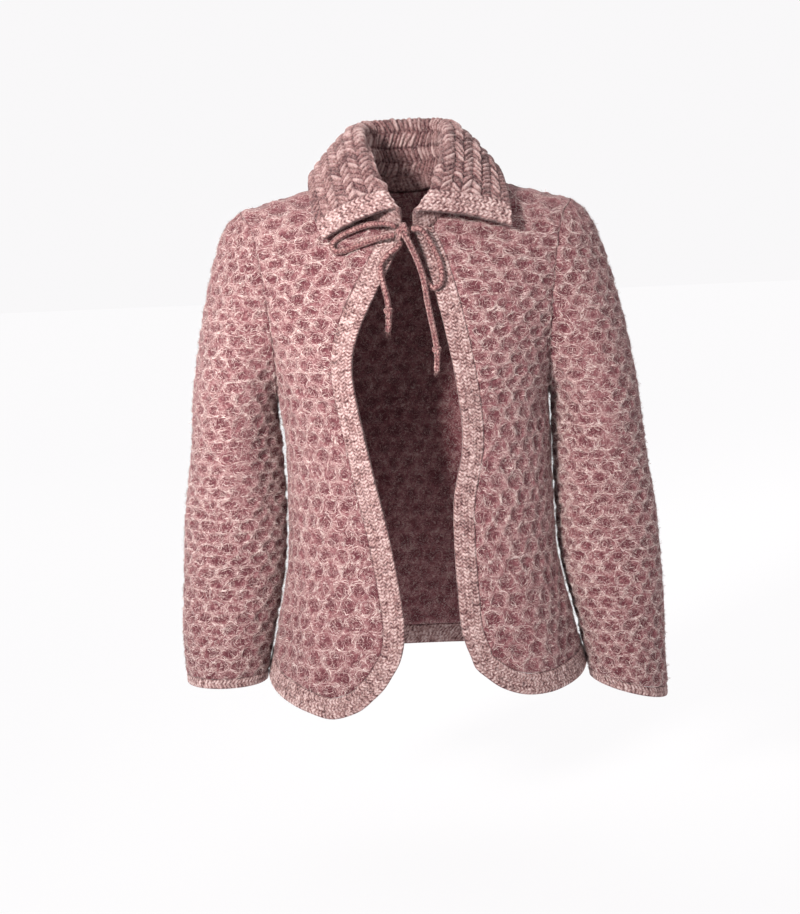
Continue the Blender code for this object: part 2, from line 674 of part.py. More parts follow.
def ring_normals(rings):
    """Outward directions of a sleeve's rings, worked out from the neighbouring points."""
    count = len(rings[0])
    result = []
    for r, ring in enumerate(rings):
        above, below = rings[max(r - 1, 0)], rings[min(r + 1, len(rings) - 1)]
        line = []
        for i in range(count):
            around = ring[(i + 1) % count] - ring[i - 1]
            along = below[i] - above[i]
            line.append(around.cross(along).normalized())
        result.append(line)
    middle = sum((p for p in rings[-1]), Vector()) / count
    if result[-1][0].dot(rings[-1][0] - middle) < 0:
        result = [[-normal for normal in line] for line in result]
    return result


def build_sleeve(side, label, armhole, armhole_normals, table, folds):
    """Set-in sleeve from the armhole over its cap to the wrist, and the cuff's band."""
    first_z, last_z = table[0]["z"], table[-1]["z"] + CUFF_WIDTH
    target = sleeve_ring(table, folds, first_z)
    rings = []
    for step in range(CAP_RINGS + 1):
        t = step / CAP_RINGS
        ring = []
        for point, normal, goal in zip(armhole, armhole_normals, target):
            height = min(max((point.z - UNDERARM_Z) / ARM_HEIGHT, 0), 1)
            leave = leave_direction(point)
            start = point + leave * SEAM_GAP * normal.length
            reach = (goal - start).length
            h00, h10 = 2 * t ** 3 - 3 * t ** 2 + 1, t ** 3 - 2 * t ** 2 + t
            h01, h11 = 3 * t ** 2 - 2 * t ** 3, t ** 3 - t ** 2
            ring.append(start * h00 + leave * (reach * (0.95 - 0.57 * height) * h10) + goal * h01
                        + Vector((0.04, 0, -1)) * (reach * 0.7 * h11))
        rings.append(ring)
    for row in range(1, SLEEVE_ROWS + 1):
        z = first_z + (last_z - first_z) * row / SLEEVE_ROWS
        rings.append(sleeve_ring(table, folds, z))
    cuff = [sleeve_ring(table, folds, last_z - SEAM_GAP),
            sleeve_ring(table, folds, last_z - CUFF_WIDTH / 2),
            sleeve_ring(table, folds, last_z - CUFF_WIDTH)]
    normals = ring_normals(rings + cuff)
    body = normals[:len(rings)]
    body[0] = armhole_normals
    mirror = side == RIGHT
    cloth_wall(label + "_sleeve", rings, body, KNIT_WALL, ring=True, mirror=mirror,
               knit=material(label + " sleeve honeycomb knit", PANEL_COLOUR, 0.95))
    cuff_normals = [body[-1], normals[-2], normals[-1]]
    cloth_wall(label + "_cuff_band", cuff, cuff_normals, BAND_WALL, ring=True, mirror=mirror,
               raised=lambda r, c: BAND_RIB_RISE if r == 1 else 0.0,
               knit=material(label + " cuff ribbed knit", BAND_COLOUR, 0.9))


def collar_seat(neckline, neck_normals):
    """Stations of the collar on the panels' neckline: a point, and the way off the rim there."""
    seat = []
    for index, share in even_places(neckline, COLLAR_STATIONS):
        point = neckline[index].lerp(neckline[index + 1], share)
        normal = neck_normals[index].lerp(neck_normals[index + 1], share).normalized()
        away = normal.cross(neckline[index + 1] - neckline[index]).normalized()
        seat.append((point, away))
    return seat


def build_collar(necklines):
    """Collar wall from one front end round the neck to the other, and the bands on its ends."""
    sections, ways = [], []
    for side, table in ((RIGHT, RIGHT_COLLAR), (LEFT, LEFT_COLLAR)):
        half, half_ways = [], []
        for station, (point, away) in enumerate(collar_seat(*necklines[side])):
            at = station / COLLAR_STATIONS
            roll, edge = (spline_point([row[key] for row in table], at) for key in ("roll", "edge"))
            base = point + away * COLLAR_WALL / 2
            half.append([mirrored(corner, side) for corner in (base, roll, edge)])
            half_ways.append(mirrored(away, side))
        sections.append(half)
        ways.append(half_ways)
    stations = sections[0] + list(reversed(sections[1]))[1:]
    middle = [collar_section(*station) for station in stations]
    normals = grid_normals(middle)
    for line, directions, away in zip(middle, normals, ways[0] + ways[1][::-1][1:]):
        reach = COLLAR_WALL / 2 * abs(directions[0].dot(away))
        line[0] = line[0] + away * (COLLAR_CLEARANCE + reach - COLLAR_WALL / 2)
    band = round(COLLAR_BAND_SHARE * COLLAR_STATIONS)
    collar_knit = material("collar rope rib knit", COLLAR_COLOUR, 0.9)
    body = slice(band, len(stations) - band)
    last = len(middle[body]) - 1
    cloth_wall("collar", middle[body], normals[body], COLLAR_WALL, knit=collar_knit,
               raised=lambda r, c: collar_rise(c / COLLAR_STEPS) * min(r, last - r, 2) / 2)
    for name, end in (("right", slice(0, band + 1)), ("left", slice(-band - 1, None))):
        rows, row_normals = middle[end], normals[end]
        if name == "left":
            rows, row_normals = rows[::-1], row_normals[::-1]
        strip, strip_normals = [], []
        steps = BAND_RIBS * 2
        for k in range(steps + 1):
            at = k / steps
            line, line_normals = [], []
            for c in range(COLLAR_STEPS + 1):
                along = rows[-1][min(c + 1, COLLAR_STEPS)] - rows[-1][max(c - 1, 0)]
                shift = along.cross(row_normals[-1][c]).normalized() * COLLAR_CLEARANCE
                if shift.dot(rows[-2][c] - rows[-1][c]) < 0:
                    shift.negate()
                ends = [row[c] for row in rows[:-1]] + [rows[-1][c] + shift]
                place = min(int(at * band), band - 1)
                line.append(ends[place].lerp(ends[place + 1], at * band - place))
                line_normals.append(row_normals[0][c].lerp(row_normals[-1][c], at).normalized())
            strip.append(line)
            strip_normals.append(line_normals)
        cloth_wall(name + "_collar_band", strip, strip_normals, COLLAR_WALL,
                   raised=lambda r, c: band_rise(r / steps),
                   knit=material(name + " collar band ribbed knit", BAND_COLOUR, 0.9))


def mirrored(point, side):
    """Point on the wearer's right or left."""
    return Vector((side * point.x, point.y, point.z))


def collar_section(base, roll, edge):
    """Section of the collar from the neckline up over the roll and down to its outer edge."""
    outward = Vector((edge.x - roll.x, edge.y - roll.y, 0)).normalized()
    shoulder = roll + outward * 2 * ROLL_RADIUS
    bulge = Vector((outward.x, outward.y, 1.0)) * FALL_BULGE
    corners = [base, roll, shoulder, shoulder.lerp(edge, 0.5) + bulge, edge]
    for _ in range(3):
        cut = [corners[0]]
        for before, after in zip(corners, corners[1:]):
            cut += [before.lerp(after, 0.25), before.lerp(after, 0.75)]
        corners = cut + [corners[-1]]
    return even_points(corners, COLLAR_STEPS)


def grid_normals(grid):
    """Directions square to a grid of points, on the collar's visible side."""
    rows, columns = len(grid), len(grid[0])
    result = []
    for r in range(rows):
        line = []
        for c in range(columns):
            down = grid[min(r + 1, rows - 1)][c] - grid[max(r - 1, 0)][c]
            across = grid[r][min(c + 1, columns - 1)] - grid[r][max(c - 1, 0)]
            line.append(down.cross(across).normalized())
        result.append(line)
    return result


def collar_rise(share):
    """Height of the collar's rope-like ribs, which fade towards its two edges."""
    fade = math.sin(min(share / 0.25, 1.0) * math.pi / 2) * min((1 - share) / 0.3, 1.0)
    return COLLAR_RIB_RISE * fade * abs(math.sin(math.pi * COLLAR_RIBS * share)) ** 0.8


def build_cord(name, route, spacing, knit):
    """Knitted tube along a smooth route, with filled ends and a point every so many diameters."""
    length = sum((Vector(b) - Vector(a)).length for a, b in zip(route, route[1:]))
    count = max(2, round(length / (spacing * CORD_DIAMETER)))
    points = even_curve(route, count)
    curve = bpy.data.curves.new(name, "CURVE")
    curve.dimensions = "3D"
    curve.bevel_depth = CORD_DIAMETER / 2
    curve.bevel_resolution = CORD_SIDES_SETTING
    curve.use_fill_caps = True
    spline = curve.splines.new("POLY")
    spline.points.add(len(points) - 1)
    for target, point in zip(spline.points, points):
        target.co = (*point, 1)
    return add_object(name, curve, knit)


def build_knot(name, centre, radii, knit):
    """Small round knot, as a squashed ball."""
    mesh = bmesh.new()
    bmesh.ops.create_uvsphere(mesh, u_segments=12, v_segments=8, radius=1.0)
    for vertex in mesh.verts:
        vertex.co = Vector([c + r * p for c, r, p in zip(centre, radii, vertex.co)])
    data = bpy.data.meshes.new(name)
    mesh.to_mesh(data)
    mesh.free()
    data.shade_smooth()
    return add_object(name, data, knit)


for existing in list(bpy.data.objects):
    bpy.data.objects.remove(existing, do_unlink=True)
garment = bpy.data.collections.new("Cardigan")
bpy.context.scene.collection.children.link(garment)

right_armhole, right_normals, *right_neck = build_front(RIGHT, "right", RIGHT_EDGE)
left_armhole, left_normals, *left_neck = build_front(LEFT, "left", LEFT_EDGE)
side_hem = (RIGHT_EDGE[-1]["z"] + LEFT_EDGE[-1]["z"]) / 2 - UNDERARM_Z
back_armhole, back_normals, *back_neck = build_back(side_hem)
for side, label, armhole, armhole_normals, table, folds in (
        (RIGHT, "right", right_armhole, right_normals, RIGHT_SLEEVE, RIGHT_SLEEVE_FOLDS),
        (LEFT, "left", left_armhole, left_normals, LEFT_SLEEVE, LEFT_SLEEVE_FOLDS)):
    ring = armhole + back_armhole[-2:0:-1]
    ring_directions = armhole_normals + back_normals[-2:0:-1]
    build_sleeve(side, label, ring, ring_directions, table, folds)
build_collar({side: [front + back for front, back in zip(neck, back_neck)]
              for side, neck in ((RIGHT, right_neck), (LEFT, left_neck))})

cord_knit = material("knitted tie cord", CORD_COLOUR, 0.9)
for name, route, spacing in (("right_tie_loop", RIGHT_LOOP, 1.3), ("left_tie_loop", LEFT_LOOP, 1.3),
                             ("right_tie_end", RIGHT_END, 1.3), ("left_tie_end", LEFT_END, 1.2),
                             ("right_tie_tip", RIGHT_TIP, 2.0), ("left_tie_tip", LEFT_TIP, 2.0)):
    build_cord(name, route, spacing, cord_knit)
build_knot("tie_knot", KNOT_CENTRE, KNOT_RADII, cord_knit)
build_knot("right_end_knot", RIGHT_END_KNOT, END_KNOT_RADII, cord_knit)
build_knot("left_end_knot", LEFT_END_KNOT, END_KNOT_RADII, cord_knit)
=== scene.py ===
"""Looks of an open-front hand-knit cardigan: honeycomb knit in a marled mohair yarn, ribbed edge bands,
a rolled collar of rope-like ribs and a tie cord, all as thin cloth on the form that it has when worn.

Metres, +Z up. The wearer faces -Y, and right and left are the wearer's: right is -X.
"""
import math

import bmesh
import bpy
import numpy as np
from mathutils import Matrix, Vector
from mathutils.kdtree import KDTree


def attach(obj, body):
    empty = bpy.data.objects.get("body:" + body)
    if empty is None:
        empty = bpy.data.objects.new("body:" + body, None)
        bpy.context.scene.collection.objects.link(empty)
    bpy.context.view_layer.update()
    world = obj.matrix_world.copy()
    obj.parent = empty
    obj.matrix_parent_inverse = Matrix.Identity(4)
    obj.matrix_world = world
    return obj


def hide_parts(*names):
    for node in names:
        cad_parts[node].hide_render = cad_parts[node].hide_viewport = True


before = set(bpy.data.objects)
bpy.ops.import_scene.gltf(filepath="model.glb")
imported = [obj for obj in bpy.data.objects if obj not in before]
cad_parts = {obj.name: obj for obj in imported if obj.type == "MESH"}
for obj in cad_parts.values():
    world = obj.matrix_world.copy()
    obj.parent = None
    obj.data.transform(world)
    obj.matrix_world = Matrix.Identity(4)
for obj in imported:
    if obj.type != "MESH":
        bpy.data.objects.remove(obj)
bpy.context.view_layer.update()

# Camera at the photograph's angle: a long lens a little above the shoulders, looking slightly down.
# It is rolled by as much as the garment leans in the photograph.
PHOTO_WIDTH = 800
FOCAL_PIXELS = 2241.38
SENSOR_MM = 36.0
CAMERA_PLACE = Vector((-0.018735, -2.6, 0.07))
CAMERA_PITCH = math.radians(8.374626)
CAMERA_ROLL = math.radians(2.4)


def placed(name, data):
    """Object of some data, linked into the scene."""
    thing = bpy.data.objects.new(name, data)
    bpy.context.scene.collection.objects.link(thing)
    return thing


lens = bpy.data.cameras.new("camera")
lens.sensor_fit = "HORIZONTAL"
lens.sensor_width = SENSOR_MM
lens.lens = FOCAL_PIXELS / PHOTO_WIDTH * SENSOR_MM
camera = placed("camera", lens)
ahead = Vector((0, math.cos(CAMERA_PITCH), -math.sin(CAMERA_PITCH)))
level_up = Vector((0, math.sin(CAMERA_PITCH), math.cos(CAMERA_PITCH)))
rolled_right = Vector((1, 0, 0)) * math.cos(CAMERA_ROLL) - level_up * math.sin(CAMERA_ROLL)
rolled_up = Vector((1, 0, 0)) * math.sin(CAMERA_ROLL) + level_up * math.cos(CAMERA_ROLL)
turned = Matrix((rolled_right, rolled_up, -ahead)).transposed().to_4x4()
camera.matrix_world = Matrix.Translation(CAMERA_PLACE) @ turned
bpy.context.scene.camera = camera

# Studio light and floor: a pale room, a little dimmer at the front right, a soft lamp with a narrow beam
# from the front left, and a weak one behind. The plain pale floor lies well below the garment, which
# hangs from its shoulders, and glows a little so that it meets the room without a line.
FLOOR_Z = -0.80
FLOOR_HALF_SIZE = 9.0
FLOOR_GLOW = 0.87
ROOM_BRIGHTNESS = 0.98
ROOM_RIGHT = 0.78           # brightness of the room on the viewer's right
DIM_WAY = (0.94, -0.34, 0.0)
DIM_RANGE = (-0.05, 0.45)   # where the room starts to dim in that direction, and where it is dimmest
SOFT_LIGHTS = [
    dict(name="key", place=(-1.75, -2.85, 0.9), size=0.7, watts=4.6, aim=(-0.13, 0.0, -0.20), spread=21),
    dict(name="behind", place=(-0.6, 2.4, 1.2), size=1.8, watts=5, aim=(0.0, 0.0, -0.3), spread=180),
]


def linear(code):
    """Linear colour of an sRGB hex code such as b07c80."""
    channels = [int(code[i:i + 2], 16) / 255 for i in (0, 2, 4)]
    return tuple(c / 12.92 if c <= 0.04045 else ((c + 0.055) / 1.055) ** 2.4 for c in channels) + (1.0,)


def fill(tree, node, inputs):
    """Give a node its inputs: each is a plain value or the output of another node."""
    for key, value in inputs.items():
        if isinstance(value, bpy.types.NodeSocket):
            tree.links.new(value, node.inputs[key])
        else:
            node.inputs[key].default_value = value


def add_node(tree, kind, inputs=None, **settings):
    """New node with its inputs and settings."""
    node = tree.nodes.new(kind)
    for key, value in settings.items():
        setattr(node, key, value)
    fill(tree, node, inputs or {})
    return node


def mapped(tree, value, low, high, to_low=0.0, to_high=1.0, **settings):
    """Output of a node that carries one range of values over to another."""
    inputs = {"Value": value, "From Min": low, "From Max": high, "To Min": to_low, "To Max": to_high}
    return add_node(tree, "ShaderNodeMapRange", inputs, **settings).outputs[0]


def new_material(name):
    """New material, its tree of nodes and its surface."""
    made = bpy.data.materials.new(name)
    made.use_nodes = True
    return made, made.node_tree, made.node_tree.nodes["Principled BSDF"]


room = bpy.data.worlds.new("room")
room.use_nodes = True
sky = room.node_tree
around = add_node(sky, "ShaderNodeTexCoord").outputs["Generated"]
sideways = add_node(sky, "ShaderNodeVectorMath", {0: around, 1: DIM_WAY},
                    operation="DOT_PRODUCT").outputs["Value"]
brightness = mapped(sky, sideways, *DIM_RANGE, ROOM_BRIGHTNESS, ROOM_RIGHT,
                    interpolation_type="SMOOTHSTEP")
fill(sky, sky.nodes["Background"], {"Color": linear("fbfafb"), "Strength": brightness})
bpy.context.scene.world = room
bpy.context.scene.view_settings.view_transform = "Standard"
for light in SOFT_LIGHTS:
    lamp = bpy.data.lights.new(light["name"], "AREA")
    lamp.size = light["size"]
    lamp.energy = light["watts"]
    lamp.spread = math.radians(light["spread"])
    lamp.color = linear("fffaf6")[:3]
    towards = Vector(light["aim"]) - Vector(light["place"])
    placed(light["name"], lamp).matrix_world = (
        Matrix.Translation(light["place"]) @ towards.to_track_quat("-Z", "Y").to_matrix().to_4x4())

paper, tree, surface = new_material("matt white paper")      # an even white ground with no shine
fill(tree, surface, {"Base Color": linear("6c6c6c"), "Emission Color": linear("fbfafb"),
                     "Emission Strength": FLOOR_GLOW, "Specular IOR Level": 0.0, "Roughness": 0.95})
ground = bmesh.new()
bmesh.ops.create_grid(ground, x_segments=2, y_segments=2, size=FLOOR_HALF_SIZE)
bmesh.ops.translate(ground, verts=ground.verts, vec=(0, 0, FLOOR_Z))
floor_mesh = bpy.data.meshes.new("floor")
ground.to_mesh(floor_mesh)
ground.free()
floor_mesh.materials.append(paper)
placed("floor", floor_mesh)

# Tie of knitted tube cord, a marled wool and mohair yarn a little redder than the cloth. It is tied in
# a bow at the neck; each free end has a small overhand knot and a frayed tip. The bow's routes are the
# same as the solids'.
CORD_DIAMETER = 0.0066
CORD_STITCH = 0.0042        # height of one knit stitch along the cord
CORD_SIDES = 16
CORD_STEP = 0.0009
KNOT_CENTRE = (-0.0050, -0.0942, -0.0460)
KNOT_HALF_DEPTH = 0.0080    # of the wraps, to their strand's middle
KNOT_HALF_HEIGHT = 0.0075
KNOT_STRAND = 0.0031        # radius of the tightened strand of the wraps
END_KNOT_STRAND = 0.0021
END_KNOT_SIZE = (0.0038, 0.0026, 0.0038)
TIP_HAIRS = 46
TIP_HAIR_LENGTH = 0.007
TIP_HAIR_HALF_WIDTH = 0.00016
RIGHT_LOOP = [
    (-0.0128, -0.0962, -0.0405), (-0.0180, -0.0974, -0.0370), (-0.0275, -0.0947, -0.0355),
    (-0.0430, -0.0859, -0.0368), (-0.0620, -0.0820, -0.0425), (-0.0780, -0.0830, -0.0505),
    (-0.0850, -0.0850, -0.0580), (-0.0810, -0.0880, -0.0645), (-0.0690, -0.0895, -0.0640),
    (-0.0520, -0.0895, -0.0580), (-0.0350, -0.0932, -0.0525), (-0.0225, -0.0967, -0.0500),
    (-0.0140, -0.0956, -0.0486),
]
LEFT_LOOP = [
    (-0.0003, -0.0979, -0.0546), (0.0040, -0.0997, -0.0625), (0.0085, -0.1010, -0.0730),
    (0.0128, -0.1021, -0.0860), (0.0180, -0.1062, -0.1005), (0.0260, -0.1095, -0.1085),
    (0.0345, -0.1082, -0.1030), (0.0355, -0.1038, -0.0870), (0.0295, -0.0981, -0.0680),
    (0.0205, -0.0973, -0.0505), (0.0125, -0.0977, -0.0425), (0.0040, -0.0961, -0.0437),
]
RIGHT_END = [
    (-0.0077, -0.0980, -0.0557), (-0.0125, -0.1000, -0.0628), (-0.0215, -0.1014, -0.0690),
    (-0.0295, -0.1021, -0.0775), (-0.0316, -0.1040, -0.0890), (-0.0292, -0.1053, -0.1030),
    (-0.0257, -0.1060, -0.1180), (-0.0248, -0.1065, -0.1272),
]
LEFT_END = [
    (-0.0036, -0.1061, -0.0480), (-0.0030, -0.1104, -0.0494), (0.0005, -0.1130, -0.0560),
    (0.0058, -0.1125, -0.0680), (0.0105, -0.1119, -0.0800), (0.0150, -0.1135, -0.0950),
    (0.0172, -0.1145, -0.1080), (0.0185, -0.1145, -0.1200), (0.0215, -0.1138, -0.1375),
    (0.0252, -0.1130, -0.1595), (0.0271, -0.1130, -0.1722),
]
RIGHT_TIP = [(-0.0248, -0.1065, -0.1390), (-0.0252, -0.1065, -0.1475), (-0.0264, -0.1065, -0.1565)]
LEFT_TIP = [(0.0275, -0.1130, -0.1840), (0.0272, -0.1130, -0.1925), (0.0262, -0.1130, -0.2025)]
RIGHT_END_KNOT = (-0.0248, -0.1065, -0.1331)
LEFT_END_KNOT = (0.0273, -0.1130, -0.1781)


def spline(a, b, c, d, t):
    """Value on a Catmull-Rom curve at a share t of the way from b to c."""
    return 0.5 * (2 * b + (c - a) * t + (2 * a - 5 * b + 4 * c - d) * t ** 2
                  + (3 * b - 3 * c + d - a) * t ** 3)


def spline_point(points, at):
    """Point at a share of the way through a list of points, on a smooth curve."""
    place = min(max(at, 0.0), 1.0) * (len(points) - 1)
    index = min(int(place), len(points) - 2)
    b, c = Vector(points[index]), Vector(points[index + 1])
    a = Vector(points[index - 1]) if index > 0 else b * 2 - c
    d = Vector(points[index + 2]) if index + 2 < len(points) else c * 2 - b
    return spline(a, b, c, d, place - index)


def running(steps):
    """How far one has come after each of the steps, from 0."""
    return np.concatenate([[0.0], np.cumsum(steps)])


def even_places(points, count, crowd=1.0):
    """Evenly spaced places on a line, as an index and a share; a crowd packs them at its end."""
    lengths = running([(after - before).length for before, after in zip(points, points[1:])])
    places, index = [], 0
    for k in range(count + 1):
        target = lengths[-1] * (1 - (1 - k / count) ** crowd)
        while index < len(points) - 2 and lengths[index + 1] < target:
            index += 1
        share = (target - lengths[index]) / max(lengths[index + 1] - lengths[index], 1e-9)
        places.append((index, min(max(share, 0.0), 1.0)))
    return places


def even_points(points, count, crowd=1.0):
    """Evenly spaced points on a line with straight sides."""
    return [points[i].lerp(points[i + 1], share) for i, share in even_places(points, count, crowd)]


def even_curve(points, count, crowd=1.0):
    """Evenly spaced points on the smooth curve through a few points."""
    return even_points([spline_point(points, i / 400) for i in range(401)], count, crowd)


def line_length(points):
    """Length of a line with straight sides."""
    return sum((Vector(b) - Vector(a)).length for a, b in zip(points, points[1:]))


def lengthened(values):
    """Rows with one more at either end, in line with the last two."""
    return np.concatenate([2 * values[:1] - values[1:2], values, 2 * values[-1:] - values[-2:-1]])


def noise(tree, where, scale, detail, roughness=0.5, distortion=0.0):
    """Output of a noise texture with so many bumps to the metre."""
    inputs = {"Vector": where, "Scale": scale, "Detail": detail, "Roughness": roughness,
              "Distortion": distortion}
    return add_node(tree, "ShaderNodeTexNoise", inputs).outputs["Fac"]


def maths(tree, operation, *values):
    """Output of a node that works out one operation."""
    return add_node(tree, "ShaderNodeMath", dict(enumerate(values)), operation=operation).outputs[0]


def mixed(tree, share, first, second):
    """Output of a node that mixes two colours."""
    return add_node(tree, "ShaderNodeMix", {0: share, 6: first, 7: second}, data_type="RGBA").outputs[2]


def strands(tree, where, scale, width, most):
    """Cover by long wavy strands, which lie where a noise is near its middle value."""
    off_middle = maths(tree, "SUBTRACT", noise(tree, where, scale, 1.5, 0.6, 0.9), 0.5)
    return mapped(tree, maths(tree, "ABSOLUTE", off_middle), 0.0, width, most, 0.0)


def wool(name, deep, mid, pale, hairs, hair_share):
    """Marled wool and mohair yarn: dark strands and pale hairs lie side by side along each thread. Where the
    knit is less raised it is painted darker: painted shade in its hollows and between its stitches, and in
    the honeycomb also its darker ground yarn. The mohair scatters light at grazing angles as a soft sheen."""
    cloth, tree, surface = new_material(name)
    where = add_node(tree, "ShaderNodeTexCoord").outputs["Object"]
    # How raised the knit is: the ramp below paints low places dark, partly as painted shade
    raised = add_node(tree, "ShaderNodeAttribute", attribute_name="raised").outputs["Fac"]
    # Marl flecks about 2.5 mm long, and tufts of the brushed surface about 9 mm across
    fleck = noise(tree, where, 380.0, 2.0, 0.65)
    tuft = noise(tree, where, 110.0, 1.0)
    flecked = maths(tree, "ADD", raised, mapped(tree, fleck, 0.25, 0.75, -0.34, 0.34, clamp=False))
    height = maths(tree, "ADD", flecked, mapped(tree, tuft, 0.3, 0.7, -0.12, 0.12))
    ramp = add_node(tree, "ShaderNodeValToRGB", {"Fac": height})
    for end, position, code in ((0, 0.05, deep), (1, 0.98, pale)):
        ramp.color_ramp.elements[end].position = position
        ramp.color_ramp.elements[end].color = linear(code)
    ramp.color_ramp.elements.new(0.5).color = linear(mid)
    # Dark strands of the wool, and long pale hairs of the mohair over them, both about 0.5 mm wide
    aside = add_node(tree, "ShaderNodeMapping", {"Vector": where, "Location": (0.3, 0.7, 0.2)}).outputs[0]
    dark = strands(tree, aside, 240.0, 0.035, 0.60)
    hair = strands(tree, where, 210.0, 0.036, hair_share)
    colour = mixed(tree, hair, mixed(tree, dark, ramp.outputs[0], linear(deep)), linear(hairs))
    bump = add_node(tree, "ShaderNodeBump", {"Height": maths(tree, "ADD", fleck, hair), "Strength": 0.7,
                                             "Distance": 0.0009}).outputs[0]
    fill(tree, surface, {"Base Color": colour, "Normal": bump, "Roughness": 0.93,
                         "Specular IOR Level": 0.15, "Sheen Weight": 0.25, "Sheen Roughness": 0.55,
                         "Sheen Tint": linear("f3dcd8")})
    return cloth


def moved_grid(mesh, points, raised):
    """Grid of vertices in rows, moved to its points; each vertex notes how raised its stitch is."""
    rows, columns = points.shape[:2]
    layer = mesh.verts.layers.float.get("raised") or mesh.verts.layers.float.new("raised")
    made = bmesh.ops.create_grid(mesh, x_segments=columns - 1, y_segments=rows - 1, size=1.0)["verts"]
    for vertex, point, value in zip(made, points.reshape(-1, 3), raised.reshape(-1)):
        vertex.co = point
        vertex[layer] = value
    return [made[r * columns:(r + 1) * columns] for r in range(rows)]


def worn(name, data, cloth):
    """Smooth object of one material, riding on the garment's one body."""
    data.shade_smooth()
    data.materials.append(cloth)
    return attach(placed(name, data), "root")


def finished(name, mesh, cloth):
    """Object of one closed piece, with its faces pointing out."""
    bmesh.ops.recalc_face_normals(mesh, faces=mesh.faces)
    data = bpy.data.meshes.new(name)
    mesh.to_mesh(data)
    mesh.free()
    return worn(name, data, cloth)


def tube(mesh, route, radius, closed=False):
    """Knitted tube along a route: two columns of V-shaped stitches all round, and rounded ends."""
    points = np.array(route)
    longer = lengthened(points)
    along = np.roll(points, -1, 0) - np.roll(points, 1, 0) if closed else longer[2:] - longer[:-2]
    along /= np.linalg.norm(along, axis=1)[:, None]
    side = Vector(along[0]).orthogonal().normalized()
    sides = []
    for direction in along:
        side = (side - Vector(direction) * side.dot(Vector(direction))).normalized()
        sides.append(side)
    sides = np.array([tuple(s) for s in sides])
    others = np.cross(along, sides)
    turn = np.linspace(0, 2 * math.pi, CORD_SIDES + 1)
    if closed:
        points, sides, others = (np.concatenate([a, a[:1]]) for a in (points, sides, others))
    reach = running(np.linalg.norm(points[1:] - points[:-1], axis=1))
    across = np.abs((turn / math.pi * 2) % 1 - 0.5) * 2
    phase = reach[:, None] / CORD_STITCH + across[None, :] * 0.55
    # Each stitch is a bead; painted shade darkens the gaps between the beads and the edges of each
    # column. The ends are rounded off
    bead = np.abs(np.sin(math.pi * phase)) ** 0.7
    raised = -0.08 + 0.92 * bead * (1 - 0.6 * across[None, :] ** 3)
    swell = radius * (0.86 + 0.24 * bead)
    if not closed:
        ends = np.minimum(reach, reach[-1] - reach) / (radius * 0.8)
        swell = swell * np.sqrt(1 - (1 - np.clip(ends, 0.06, 1)[:, None]) ** 2)
    ring = np.cos(turn)[None, :, None] * sides[:, None] + np.sin(turn)[None, :, None] * others[:, None]
    grid = moved_grid(mesh, points[:, None] + ring * swell[..., None], raised)
    seam = [row[0] for row in grid] + [row[-1] for row in grid]
    if closed:
        seam += grid[0] + grid[-1]
    else:
        mesh.faces.new(grid[0][:-1])
        mesh.faces.new(grid[-1][:-1])
    bmesh.ops.remove_doubles(mesh, verts=list(dict.fromkeys(seam)), dist=1e-5)


def frayed(name, tip, direction, seed):
    """Short loose hairs at a cord's cut end, as one mesh of thin tapered strips."""
    draws = np.random.default_rng(seed)
    mesh = bmesh.new()
    layer = mesh.verts.layers.float.new("raised")
    for _ in range(TIP_HAIRS):
        aim = Vector(direction) + Vector(draws.normal(0, 0.42, 3))
        aside = aim.orthogonal().normalized() * TIP_HAIR_HALF_WIDTH
        root = Vector(tip) + Vector(draws.normal(0, 0.0011, 3))
        reach = TIP_HAIR_LENGTH * draws.uniform(0.4, 1.1)
        bend = Vector(draws.normal(0, 0.0013, 3))
        pairs = []
        for k in range(4):
            share = k / 3
            spot = root + aim.normalized() * reach * share + bend * share ** 2
            pair = [mesh.verts.new(spot + aside * (1 - 0.7 * share) * sign) for sign in (-1, 1)]
            for vertex in pair:
                vertex[layer] = 0.8
            pairs.append(pair)
        for (a, b), (c, d) in zip(pairs, pairs[1:]):
            mesh.faces.new((a, b, d, c))
    tuft = finished(name, mesh, cord_wool)
    return tuft


def knitted(name, tubes, *nodes):
    """Piece of knitted tubes, each given by its route, its radius and whether it is closed."""
    mesh = bmesh.new()
    for route, radius, closed in tubes:
        tube(mesh, route, radius, closed)
    piece = finished(name, mesh, cord_wool)
    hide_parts(*nodes)
    return piece


cord_wool = wool("marled wool and mohair cord", "35191d", "744749", "b08e89", "c9ada6", 0.45)


def cord_steps(route):
    """Evenly spaced points along a cord's route."""
    return even_curve(route, round(line_length(route) / CORD_STEP))


def trefoil(centre, size):
    """Route of an overhand knot pulled tight."""
    route = []
    for k in range(64):
        t = 2 * math.pi * k / 64
        route.append(Vector(centre) + Vector(((math.sin(t) + 2 * math.sin(2 * t)) * size[0] / 3,
                                              math.sin(3 * t) * size[1],
                                              (math.cos(t) - 2 * math.cos(2 * t)) * size[2] / 3)))
    return route


def tie_cord(name, points, nodes):
    """One free cord of the tie."""
    cord = knitted(name, [(points, CORD_DIAMETER / 2, False)], *nodes)


for side, route, end_knot, tip, seed in (("right", RIGHT_END, RIGHT_END_KNOT, RIGHT_TIP, 3),
                                         ("left", LEFT_END, LEFT_END_KNOT, LEFT_TIP, 4)):
    knot = knitted(side + "_end_knot_cord", [(trefoil(end_knot, END_KNOT_SIZE), END_KNOT_STRAND, True)],
                   side + "_end_knot")
    points = cord_steps(route + [end_knot] + tip)
    last = (points[-1] - points[-4]).normalized()
    tuft = frayed(side + "_tip_hairs", points[-1] - last * 0.002, last, seed)
    tie_cord(side + "_tie_end_cord", points, (side + "_tie_end", side + "_tie_tip"))

